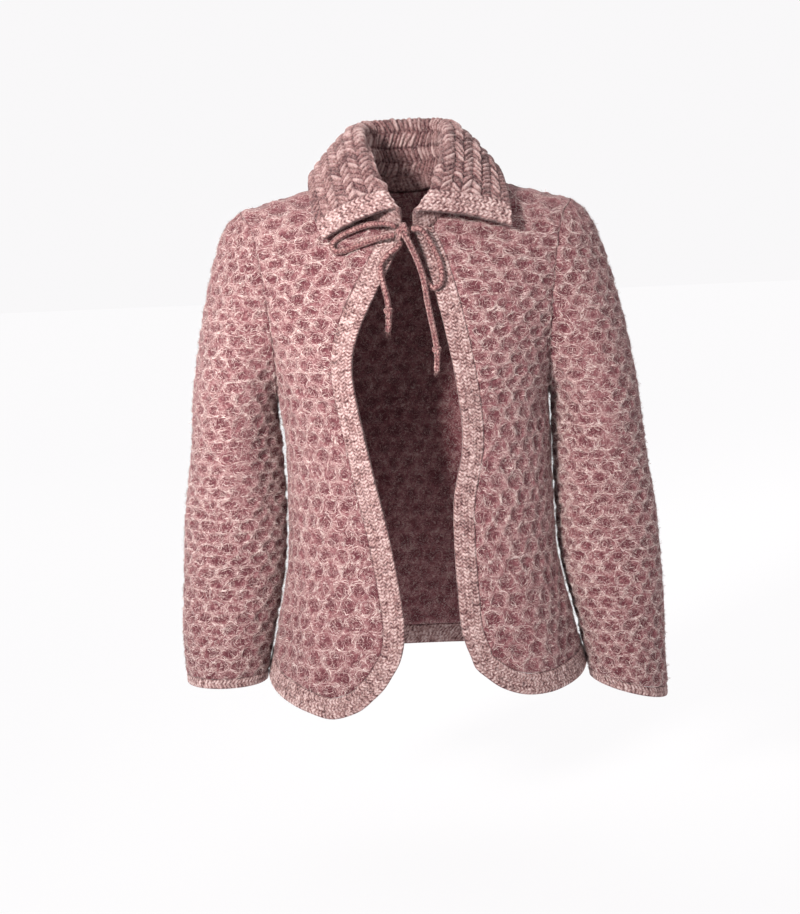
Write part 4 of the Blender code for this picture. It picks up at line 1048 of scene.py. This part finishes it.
def front_grids(edge):
    """Points of one front, of its band, of its armhole and of its part of the neckline."""
    line, seam, corner = front_lines(edge)
    inner = moved_line(seam, SEAM_GAP)
    inner[-1].x = seam[-1].x
    hem = inner[corner:]
    shares = [c / FRONT_COLUMNS for c in range(FRONT_COLUMNS + 1)]
    rows = []
    for j in range(LOWER_ROWS + 1):
        left, share = inner[corner - j], 1 - j / LOWER_ROWS
        right = Vector((hem[-1].x, hem[-1].y * share, 0))
        rows.append([left.lerp(right, u) + (place - hem[0].lerp(hem[-1], u)) * share ** 2
                     for place, u in zip(hem, shares)])
    for step in range(1, ARMHOLE_STEPS + 1):
        level = armhole_level(step)
        v = level * ARM_HEIGHT
        half_width, _ = body_size(v, FRONT)
        if step < NECK_ROW:
            start = inner[NECK_ROW - step]
        else:
            start = Vector((section_angle(neck_x(level, inner[0]) / half_width), v, 0))
        rows.append([start.lerp(armhole_place(level, half_width), u) for u in shares])
    middle, normals = on_body(rows, FRONT)
    armhole = trimmed_rims(middle, normals, [True] * len(shares), FRONT)
    neck_middle = [body_point(p.x, p.y, FRONT) for p in (line[0], line[0].lerp(seam[0], 0.5))]
    neck_middle += [row[0] for row in middle[LOWER_ROWS + NECK_ROW:]]
    neck_normals = [body_normal(line[0].x, line[0].y, FRONT)] * 2
    neck_normals += [row[0] for row in normals[LOWER_ROWS + NECK_ROW:]]
    return (as_values(middle, normals, rows), strip_values(line, seam, FRONT), armhole,
            (neck_middle, neck_normals))


armholes, necklines, front_bands = {}, {}, {}
for side, label, edge in ((RIGHT, "right", RIGHT_EDGE), (LEFT, "left", LEFT_EDGE)):
    grid, front_bands[side], armholes[side], necklines[side] = front_grids(edge)
    fine = fine_grid(grid, KNIT_STEP)
    u, v = body_pattern(fine)
    u = u + (LEFT_SHIFT if side == LEFT else 0.0)
    smoothness = smooth_share(u, 0.200, 0.240) * smooth_share(-v, *SMOOTH_DEPTH)
    panel, hairs = honeycomb_panel(label + "_front_knit", label + "_front", hung(fine, side == RIGHT),
                                   u, v, CELL_HEIGHT, 11 + side, folds_at(FRONT_FOLDS, u, v), smoothness)

# Back: one panel of the same honeycomb knit from side seam to side seam, with a slightly dipped hem. It
# is sewn to the fronts at the sides and the shoulders, and carries the collar along its hollowed neck.
def back_grids(side_hem_v):
    """Points of the back, of its hem band, of its left armhole and of half its neckline."""
    neck_width, _ = body_size(ARM_HEIGHT, BACK)
    neck_share = section_angle(NECK_HALF / neck_width) / section_angle(SHOULDER_HALF / neck_width)
    half = [neck_share * c / BACK_NECK_COLUMNS for c in range(BACK_NECK_COLUMNS + 1)]
    start = half[-1]
    half += [start + (1 - start) * c / BACK_SIDE_COLUMNS for c in range(1, BACK_SIDE_COLUMNS + 1)]
    columns = [-u for u in reversed(half[1:])] + half
    hem_line = [Vector((u * SIDE_ANGLE, side_hem_v - BACK_HEM_DIP * math.cos(u * math.pi / 2), 0))
                for u in columns]
    hem_seam = [Vector((p.x, p.y + BAND_WIDTH, 0)) for p in hem_line]
    rows = [[Vector((p.x, (p.y + SEAM_GAP) * (1 - j / LOWER_ROWS), 0)) for p in hem_seam]
            for j in range(LOWER_ROWS + 1)]
    for step in range(1, ARMHOLE_STEPS + 1):
        level = armhole_level(step)
        end = armhole_place(level, body_size(level * ARM_HEIGHT, BACK)[0])
        row = []
        for u in columns:
            dip = 1 - (1 - NECK_BACK_LEVEL) * max(1 - (abs(u) / start) ** 2.4, 0.0)
            row.append(Vector((u * end.x, level * dip * ARM_HEIGHT, 0)))
        rows.append(row)
    middle, normals = on_body(rows, BACK)
    armhole = trimmed_rims(middle, normals, [abs(u) >= start for u in columns], BACK)
    for row in normals[LOWER_ROWS:]:
        row[0] = mirrored(row[-1], RIGHT)
    centre = len(columns) // 2
    neck = slice(centre, centre + BACK_NECK_COLUMNS)
    return (as_values(middle, normals, rows), strip_values(hem_line, hem_seam, BACK), armhole,
            (middle[-1][neck][::-1], normals[-1][neck][::-1]))


back_grid, back_band, armholes["back"], necklines["back"] = back_grids(
    (RIGHT_EDGE[-1][1] + LEFT_EDGE[-1][1]) / 2 - UNDERARM_Z)
fine = fine_grid(back_grid, KNIT_STEP * 1.1)
u, v = body_pattern(fine)
smoothness = smooth_share(np.abs(u), 0.205, 0.240) * smooth_share(-v, *SMOOTH_DEPTH)
panel, hairs = honeycomb_panel("back_knit", "back", hung(fine, False), u, v, CELL_HEIGHT, 14,
                               folds_at(BACK_FOLDS, u, v), smoothness)

# Edge bands: a ribbed strip 24 mm wide of three lengthwise columns of V-shaped stitches in the same
# marled yarn, knitted on along both fronts and the hem. The cuffs have one narrow band of the same kind.
BAND_STITCH = 0.0042        # length of one stitch along the band
BAND_STEP = 0.00108
BAND_RISE = 0.0024
CUFF_RISE = 0.0017

band_wool = wool("ribbed marled wool band", "44272a", "8a6866", "c4adaa", "d6c3c0", 0.35)


def stitch_columns(phase, share, columns):
    """Columns of V stitches across a strip: height of the knit, and how raised it is, which is low between
    the stitches, at the columns' edges and in their creases, where the wool paints it darker as painted
    shade.
    """
    across = np.abs(share * columns % 1 - 0.5) * 2
    bead = np.abs(np.sin(math.pi * (phase + across * 0.70))) ** 0.9
    arch = 0.45 + 0.55 * np.sqrt(np.clip(1 - across ** 2.4, 0, 1))
    bead = bead * (1 - 0.45 * np.exp(-(across / 0.18) ** 2))       # a crease down each column's middle
    return arch * (0.35 + 0.65 * bead), -0.02 + 0.90 * arch * (0.12 + 0.88 * bead)


def ribbed_strip(name, node, values, columns, rib_rise, wall, ring=False, seed=5, rib_axis=1,
                 stitch=BAND_STITCH):
    """Ribbed strip on a coarse grid, whose ribs run along its rows or its columns."""
    fine = fine_grid(values, BAND_STEP, ring)
    rows, across = fine.shape[:2]
    reach = running(np.linalg.norm(np.diff(fine[..., :3], axis=1 - rib_axis), axis=-1).mean(axis=rib_axis))
    if ring:
        reach = reach * (round(reach[-1] / stitch) * stitch / reach[-1])
    share = np.linspace(0, 1, across if rib_axis == 1 else rows)
    along, share = (reach[:, None], share[None, :]) if rib_axis == 1 else (reach[None, :], share[:, None])
    draws = np.random.default_rng(seed)
    column = np.floor(np.clip(share, 0, 0.999) * columns).astype(int)
    phase = (along + (0.5 * (column % 2) + 0.15 * draws.uniform(-1, 1, columns)[column]) * stitch) / stitch
    height, raised = stitch_columns(phase, share, columns)
    grain = draws.normal(0, 1, height.shape)
    shade = draws.uniform(-0.17, 0.17, (int(reach[-1] / stitch) + 2, columns))      # of single stitches
    if ring:
        shade[-2:] = shade[:1]
        grain[:, -1] = grain[:, 0]
    raised = raised + shade[np.clip(phase, 0, len(shade) - 1).astype(int), column]
    raised = raised + 0.24 * tufts(along, share * columns * 0.008, 0.0019, seed + 7)
    rise = rib_rise * height + 0.00010 * grain
    if ring:
        rise[:, -1], raised[:, -1] = rise[:, 0], raised[:, 0]
    piece = cloth_wall(name, fine[..., :3], fine[..., 3:6], raised, rise, wall, band_wool, ring)
    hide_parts(node)


for side, label in ((RIGHT, "right"), (LEFT, "left")):
    ribbed_strip(label + "_front_band_knit", label + "_front_band", hung(front_bands[side], side == RIGHT),
                 BAND_RIBS, BAND_RISE, BAND_WALL, seed=21 + side)
ribbed_strip("back_hem_band_knit", "back_hem_band", hung(back_band, False), BAND_RIBS, BAND_RISE,
             BAND_WALL, seed=24)

# Sleeves: honeycomb tubes set into the armholes, with a slightly full cap, soft lengthwise folds at the
# elbow and a narrow band at the wrist. Their cells are flatter, 13.5 mm along the arm.
CUFF_WIDTH = 0.011
CAP_RINGS = 5
SLEEVE_ROWS = 11
SLEEVE_CELL_HEIGHT = 0.0135
SLEEVE_CELLS = 15           # round the sleeve
CAP_MIDDLE = 0.165          # middle of the sleeve's cap, from the centre
CAP_DROP = Vector((0.04, 0, -1))    # how the cap runs into the sleeve
CAP_FULLNESS = (0.95, 0.57)     # of the cap where it leaves the armhole, below and how much less on top
CAP_EASE = 0.7
SLEEVE_TOP = -0.02          # height of the cap's top
SLEEVE = "z inner outer y depth slant"
RIGHT_SLEEVE = named(
    SLEEVE, (-0.275, 0.160, 0.256, -0.006, 0.050, 0), (-0.313, 0.158, 0.260, -0.005, 0.047, 0),
    (-0.361, 0.157, 0.267, -0.004, 0.044, 0), (-0.437, 0.163, 0.274, -0.005, 0.043, 0),
    (-0.514, 0.179, 0.279, -0.010, 0.045, 0), (-0.567, 0.189, 0.277, -0.014, 0.047, 0))
LEFT_SLEEVE = named(
    SLEEVE, (-0.275, 0.1630, 0.261, -0.006, 0.050, 0), (-0.317, 0.1640, 0.266, -0.005, 0.047, 0.002),
    (-0.361, 0.1645, 0.273, -0.004, 0.044, 0.005), (-0.437, 0.1690, 0.280, -0.005, 0.043, 0.012),
    (-0.514, 0.1865, 0.281, -0.010, 0.045, 0.020), (-0.580, 0.1985, 0.283, -0.014, 0.047, 0.026))
SLEEVE_FOLD = "turn width rise top bottom"
RIGHT_SLEEVE_FOLDS = named(
    SLEEVE_FOLD, (42, 26, -0.0050, -0.19, -0.44), (96, 30, 0.0035, -0.06, -0.50),
    (262, 30, -0.0040, -0.15, -0.40), (215, 34, 0.0030, -0.20, -0.52))
LEFT_SLEEVE_FOLDS = named(
    SLEEVE_FOLD, (40, 26, -0.0055, -0.15, -0.33), (88, 30, 0.0035, -0.06, -0.42),
    (275, 32, -0.0040, -0.17, -0.46), (225, 34, 0.0030, -0.10, -0.38))
ELBOW_CREASES = {RIGHT: (80, 0.17, 0.34), LEFT: (96, 0.16, 0.30)}      # degrees round, top and bottom


def fold_rise(folds, turn, z):
    """Height of the sleeve's soft folds at a place round and along it."""
    total = 0.0
    for fold in folds:
        middle_z = (fold["top"] + fold["bottom"]) / 2
        half_length = (fold["top"] - fold["bottom"]) / 2
        along = (z - middle_z) / half_length
        if abs(along) < 1:
            around = (math.degrees(turn) - fold["turn"]) / fold["width"]
            total += fold["rise"] * math.exp(-around ** 2) * math.cos(along * math.pi / 2) ** 2
    return total


def sleeve_ring(table, folds, z):
    """One section of the sleeve below the underarm, from its inner side over the front."""
    inner, outer, depth, y, slant = (smooth_value(table, "z", key, z)
                                     for key in ("inner", "outer", "depth", "y", "slant"))
    points = []
    for i in range(2 * ARMHOLE_STEPS):
        turn = math.pi * i / ARMHOLE_STEPS
        radial = 1 + fold_rise(folds, turn, z) / depth
        across, ahead = math.cos(turn) * radial, math.sin(turn) * radial
        x = (inner + outer) / 2 - (outer - inner) / 2 * across
        points.append(Vector((x, y - depth * ahead, z - slant * (1 - across) / 2)))
    return points


def grid_normals(grid, ring=False):
    """Directions square to a grid of points, worked out from their neighbours down and across it."""
    last, count = len(grid) - 1, len(grid[0])
    result = []
    for r, row in enumerate(grid):
        line = []
        for c in range(count):
            down = grid[min(r + 1, last)][c] - grid[max(r - 1, 0)][c]
            after, before = ((c + 1) % count, c - 1) if ring else (min(c + 1, count - 1), max(c - 1, 0))
            line.append(down.cross(row[after] - row[before]).normalized())
        result.append(line)
    return result


def sleeve_grids(armhole, armhole_normals, table, folds):
    """Points of one sleeve from the armhole over its cap to the wrist, and of its narrow band."""
    first_z, last_z = table[0]["z"], table[-1]["z"] + CUFF_WIDTH
    target = sleeve_ring(table, folds, first_z)
    rings = []
    for step in range(CAP_RINGS + 1):
        t = step / CAP_RINGS
        ring = []
        for point, normal, goal in zip(armhole, armhole_normals, target):
            height = min(max((point.z - UNDERARM_Z) / ARM_HEIGHT, 0), 1)
            leave = leave_direction(point)
            start = point + leave * SEAM_GAP * normal.length
            reach = (goal - start).length
            h00, h10 = 2 * t ** 3 - 3 * t ** 2 + 1, t ** 3 - 2 * t ** 2 + t
            h01, h11 = 3 * t ** 2 - 2 * t ** 3, t ** 3 - t ** 2
            fullness = CAP_FULLNESS[0] - CAP_FULLNESS[1] * height
            ring.append(start * h00 + leave * (reach * fullness * h10) + goal * h01
                        + CAP_DROP * (reach * CAP_EASE * h11))
        rings.append(ring)
    for row in range(1, SLEEVE_ROWS + 1):
        rings.append(sleeve_ring(table, folds, first_z + (last_z - first_z) * row / SLEEVE_ROWS))
    cuff = [sleeve_ring(table, folds, last_z - below) for below in (SEAM_GAP, CUFF_WIDTH / 2, CUFF_WIDTH)]
    normals = grid_normals(rings + cuff, ring=True)
    if normals[-1][0].dot(cuff[-1][0] - sum(cuff[-1], Vector()) / len(cuff[-1])) < 0:
        normals = [[-normal for normal in line] for line in normals]
    body = normals[:len(rings)]
    body[0] = armhole_normals
    return as_values(rings, body), as_values(cuff, [body[-1]] + normals[-2:])


def sleeve_pattern(points, table):
    """Pattern places on a sleeve: round it from its inner side over the front, and down it."""
    top = table[0]["z"]
    heights = np.linspace(table[-1]["z"], top, 60)
    z = np.minimum(points[..., 2], top)
    inner, outer, depth, y = (np.interp(z, heights, [smooth_value(table, "z", key, h) for h in heights])
                              for key in ("inner", "outer", "depth", "y"))
    share = np.clip((points[..., 2] - top) / (SLEEVE_TOP - top), 0, 1)
    middle = (inner + outer) / 2
    middle = middle + (CAP_MIDDLE - middle) * share
    turn = np.arctan2((y - points[..., 1]) / depth, (middle - points[..., 0]) / ((outer - inner) / 2))
    turn = turn % (2 * math.pi)
    return turn / (2 * math.pi) * SLEEVE_CELLS * CELL_WIDTH, -points[..., 2]


for side, label, table, folds in ((RIGHT, "right", RIGHT_SLEEVE, RIGHT_SLEEVE_FOLDS),
                                  (LEFT, "left", LEFT_SLEEVE, LEFT_SLEEVE_FOLDS)):
    ring, ways = (front + back[-2:0:-1] for front, back in zip(armholes[side], armholes["back"]))
    grid, cuff = sleeve_grids(ring, ways, table, folds)
    fine = fine_grid(grid, KNIT_STEP, ring=True)
    u, v = sleeve_pattern(fine[..., :3], table)
    turn = u / (SLEEVE_CELLS * CELL_WIDTH) * 360
    middle, top, bottom = ELBOW_CREASES[side]
    smoothness = (np.exp(-((turn - middle) / 13) ** 2) * smooth_share(v, top - 0.05, top)
                  * smooth_share(-v, -bottom - 0.06, -bottom))
    if side == RIGHT:
        fine[..., [0, 3]] *= -1
        cuff[..., [0, 3]] *= -1
    panel, hairs = honeycomb_panel(label + "_sleeve_knit", label + "_sleeve", fine, u, v,
                                   SLEEVE_CELL_HEIGHT, 31 + side, np.zeros(u.shape), smoothness,
                                   ring=True, wrap=SLEEVE_CELLS)
    ribbed_strip(label + "_cuff_knit", label + "_cuff_band", cuff, 1, CUFF_RISE, BAND_WALL,
                 ring=True, seed=41 + side, rib_axis=0)

# Collar: a chunky knitted strip that stands on the neckline, rolls over and lies down. Its ribs run
# round the neck like ropes of slanted loops, fat and smooth along the roll and open with dark gaps below
# it. Each front end is finished with a ribbed band.
COLLAR_WALL = 0.0050
COLLAR_CLEARANCE = 0.0005
COLLAR_STATIONS = 14
COLLAR_STEPS = 20
ROLL_RADIUS = 0.0070
FALL_BULGE = 0.003
COLLAR_BAND_SHARE = 0.16
COLLAR_ROPES = 11           # ropes across the collar, each a column of slanted loops
COLLAR_LOOP = 0.0078        # pitch of the loops along a rope
COLLAR_LOOP_RISE = 0.0048
COLLAR_LOOP_SLANT = 1.25    # loops by which a loop leans over from one side of its rope to the other
COLLAR_STEP = 0.00128
COLLAR_BAND_RISE = 0.0022
COLLAR_BAND_STITCH = 0.0055
COLLAR_BACK = [
    dict(roll=(0.034, 0.050, 0.074), edge=(0.074, 0.080, -0.012)),
    dict(roll=(0.000, 0.060, 0.075), edge=(0.000, 0.100, -0.022)),
]
RIGHT_COLLAR = [
    dict(roll=(0.007, -0.094, -0.020), edge=(0.094, -0.086, -0.051)),
    dict(roll=(0.021, -0.080, 0.003), edge=(0.103, -0.073, -0.029)),
    dict(roll=(0.034, -0.052, 0.032), edge=(0.108, -0.045, -0.006)),
    dict(roll=(0.042, -0.016, 0.058), edge=(0.109, -0.008, 0.013)),
    dict(roll=(0.044, 0.022, 0.070), edge=(0.104, 0.036, 0.009)),
] + COLLAR_BACK
LEFT_COLLAR = [
    dict(roll=(0.008, -0.098, -0.023), edge=(0.116, -0.088, -0.044)),
    dict(roll=(0.026, -0.084, 0.001), edge=(0.116, -0.068, -0.018)),
    dict(roll=(0.038, -0.052, 0.028), edge=(0.113, -0.040, 0.001)),
    dict(roll=(0.044, -0.016, 0.055), edge=(0.109, -0.006, 0.014)),
    dict(roll=(0.045, 0.022, 0.069), edge=(0.104, 0.036, 0.009)),
] + COLLAR_BACK


def collar_seat(neckline, neck_normals):
    """Stations of the collar on the panels' neckline: a point, and the way off the rim there."""
    seat = []
    for index, share in even_places(neckline, COLLAR_STATIONS):
        point = neckline[index].lerp(neckline[index + 1], share)
        normal = neck_normals[index].lerp(neck_normals[index + 1], share).normalized()
        away = normal.cross(neckline[index + 1] - neckline[index]).normalized()
        seat.append((point, away))
    return seat


def collar_section(base, roll, edge):
    """Section of the collar from the neckline up over the roll and down to its outer edge."""
    outward = Vector((edge.x - roll.x, edge.y - roll.y, 0)).normalized()
    shoulder = roll + outward * 2 * ROLL_RADIUS
    bulge = Vector((outward.x, outward.y, 1.0)) * FALL_BULGE
    corners = [base, roll, shoulder, shoulder.lerp(edge, 0.5) + bulge, edge]
    for _ in range(3):
        cut = [corners[0]]
        for before, after in zip(corners, corners[1:]):
            cut += [before.lerp(after, 0.25), before.lerp(after, 0.75)]
        corners = cut + [corners[-1]]
    return even_points(corners, COLLAR_STEPS)


def collar_grids(necklines):
    """Points of the collar from one band round the neck to the other, and of its two end bands."""
    halves = {}
    for side, table in ((RIGHT, RIGHT_COLLAR), (LEFT, LEFT_COLLAR)):
        halves[side] = []
        for station, (point, away) in enumerate(collar_seat(*necklines[side])):
            at = station / COLLAR_STATIONS
            roll, edge = (spline_point([row[key] for row in table], at) for key in ("roll", "edge"))
            base = point + away * COLLAR_WALL / 2
            halves[side].append([mirrored(place, side) for place in (base, roll, edge, away)])
    stations = halves[RIGHT] + halves[LEFT][-2::-1]
    middle = [collar_section(*station[:3]) for station in stations]
    normals = grid_normals(middle)
    for line, ways, (*_, away) in zip(middle, normals, stations):
        reach = COLLAR_WALL / 2 * abs(ways[0].dot(away))
        line[0] = line[0] + away * (COLLAR_CLEARANCE + reach - COLLAR_WALL / 2)
    band = round(COLLAR_BAND_SHARE * COLLAR_STATIONS)
    bands = {}
    for name, order in (("right", 1), ("left", -1)):
        rows, ways = middle[::order][:band + 1], normals[::order][:band + 1]
        seam = []
        for c, (point, way) in enumerate(zip(rows[-1], ways[-1])):
            along = rows[-1][min(c + 1, COLLAR_STEPS)] - rows[-1][max(c - 1, 0)]
            shift = along.cross(way).normalized() * COLLAR_CLEARANCE
            if shift.dot(rows[-2][c] - point) < 0:
                shift.negate()
            seam.append(point + shift)
        rows = rows[:-1] + [seam]
        strip, strip_ways = [], []
        for k in range(2 * BAND_RIBS + 1):
            at = k / (2 * BAND_RIBS)
            place = min(int(at * band), band - 1)
            strip.append([a.lerp(b, at * band - place) for a, b in zip(rows[place], rows[place + 1])])
            strip_ways.append([a.lerp(b, at).normalized() for a, b in zip(ways[0], ways[-1])])
        bands[name] = as_values(strip, strip_ways)
    return as_values(middle[band:-band], normals[band:-band]), bands


collar_wool = wool("chunky rope rib of marled wool", "3c1f24", "7f5c5b", "b09794", "c4ada9", 0.38)

collar_values, end_bands = collar_grids(
    {side: [front + back for front, back in zip(necklines[side], necklines["back"])]
     for side in (RIGHT, LEFT)})
fine = fine_grid(collar_values, COLLAR_STEP)
share = np.linspace(0, 1, fine.shape[1])[None, :]
along = running(np.linalg.norm(np.diff(fine[..., :3], axis=0), axis=-1).mean(axis=1))[:, None]
draws = np.random.default_rng(51)
rope = np.clip(np.floor(share * COLLAR_ROPES), 0, COLLAR_ROPES - 1).astype(int)
across = share * COLLAR_ROPES % 1 - 0.5
stray = tufts(along, share * 0.15, 0.016, 52)
phase = (along / COLLAR_LOOP + draws.uniform(0, 1, COLLAR_ROPES)[rope] + 0.42 * stray
         + across * np.where(rope % 2 == 0, COLLAR_LOOP_SLANT, -COLLAR_LOOP_SLANT))
loop = np.floor(phase).astype(int)
wobble = draws.uniform(-1, 1, (COLLAR_ROPES, loop.max() - loop.min() + 2))[rope, loop - loop.min()]
bead = np.clip(1 - (np.abs(phase % 1 - 0.5) * 2) ** 2.2, 0, 1) ** 0.6
arch = 0.30 + 0.70 * np.sqrt(np.clip(1 - (np.abs(across) * 2) ** 3.2, 0, 1))
# The ropes are flatter at the seam and towards the outer edge, where they lie on the shoulders
flattening = 1 - 0.45 * smooth_share(share, 0.66, 1.0)
flattening = flattening * (0.45 + 0.55 * smooth_share(share, 0.05, 0.25))
ends = edge_fade(fine.shape[:2], COLLAR_STEP)
height = arch * (0.06 + 0.94 * bead) * (1 + 0.30 * wobble)
rise = (COLLAR_LOOP_RISE * (height - 0.25) * flattening * (0.3 + 0.7 * ends)
        + 0.00016 * tufts(along, share * 0.15, 0.0025, 53))
# Painted shade darkens the gaps between the loops and the sides of each rope; flat parts are even
raised = (-0.20 + 0.88 * height + 0.14 * wobble) * flattening + 0.36 * (1 - flattening)
collar = cloth_wall("collar_knit", fine[..., :3], fine[..., 3:6], raised, rise, COLLAR_WALL, collar_wool)
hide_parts("collar")
for name, values in end_bands.items():
    ribbed_strip(name + "_collar_band_knit", name + "_collar_band", values, BAND_RIBS, COLLAR_BAND_RISE,
                 COLLAR_WALL, seed=61, rib_axis=0,
                 stitch=COLLAR_BAND_STITCH)
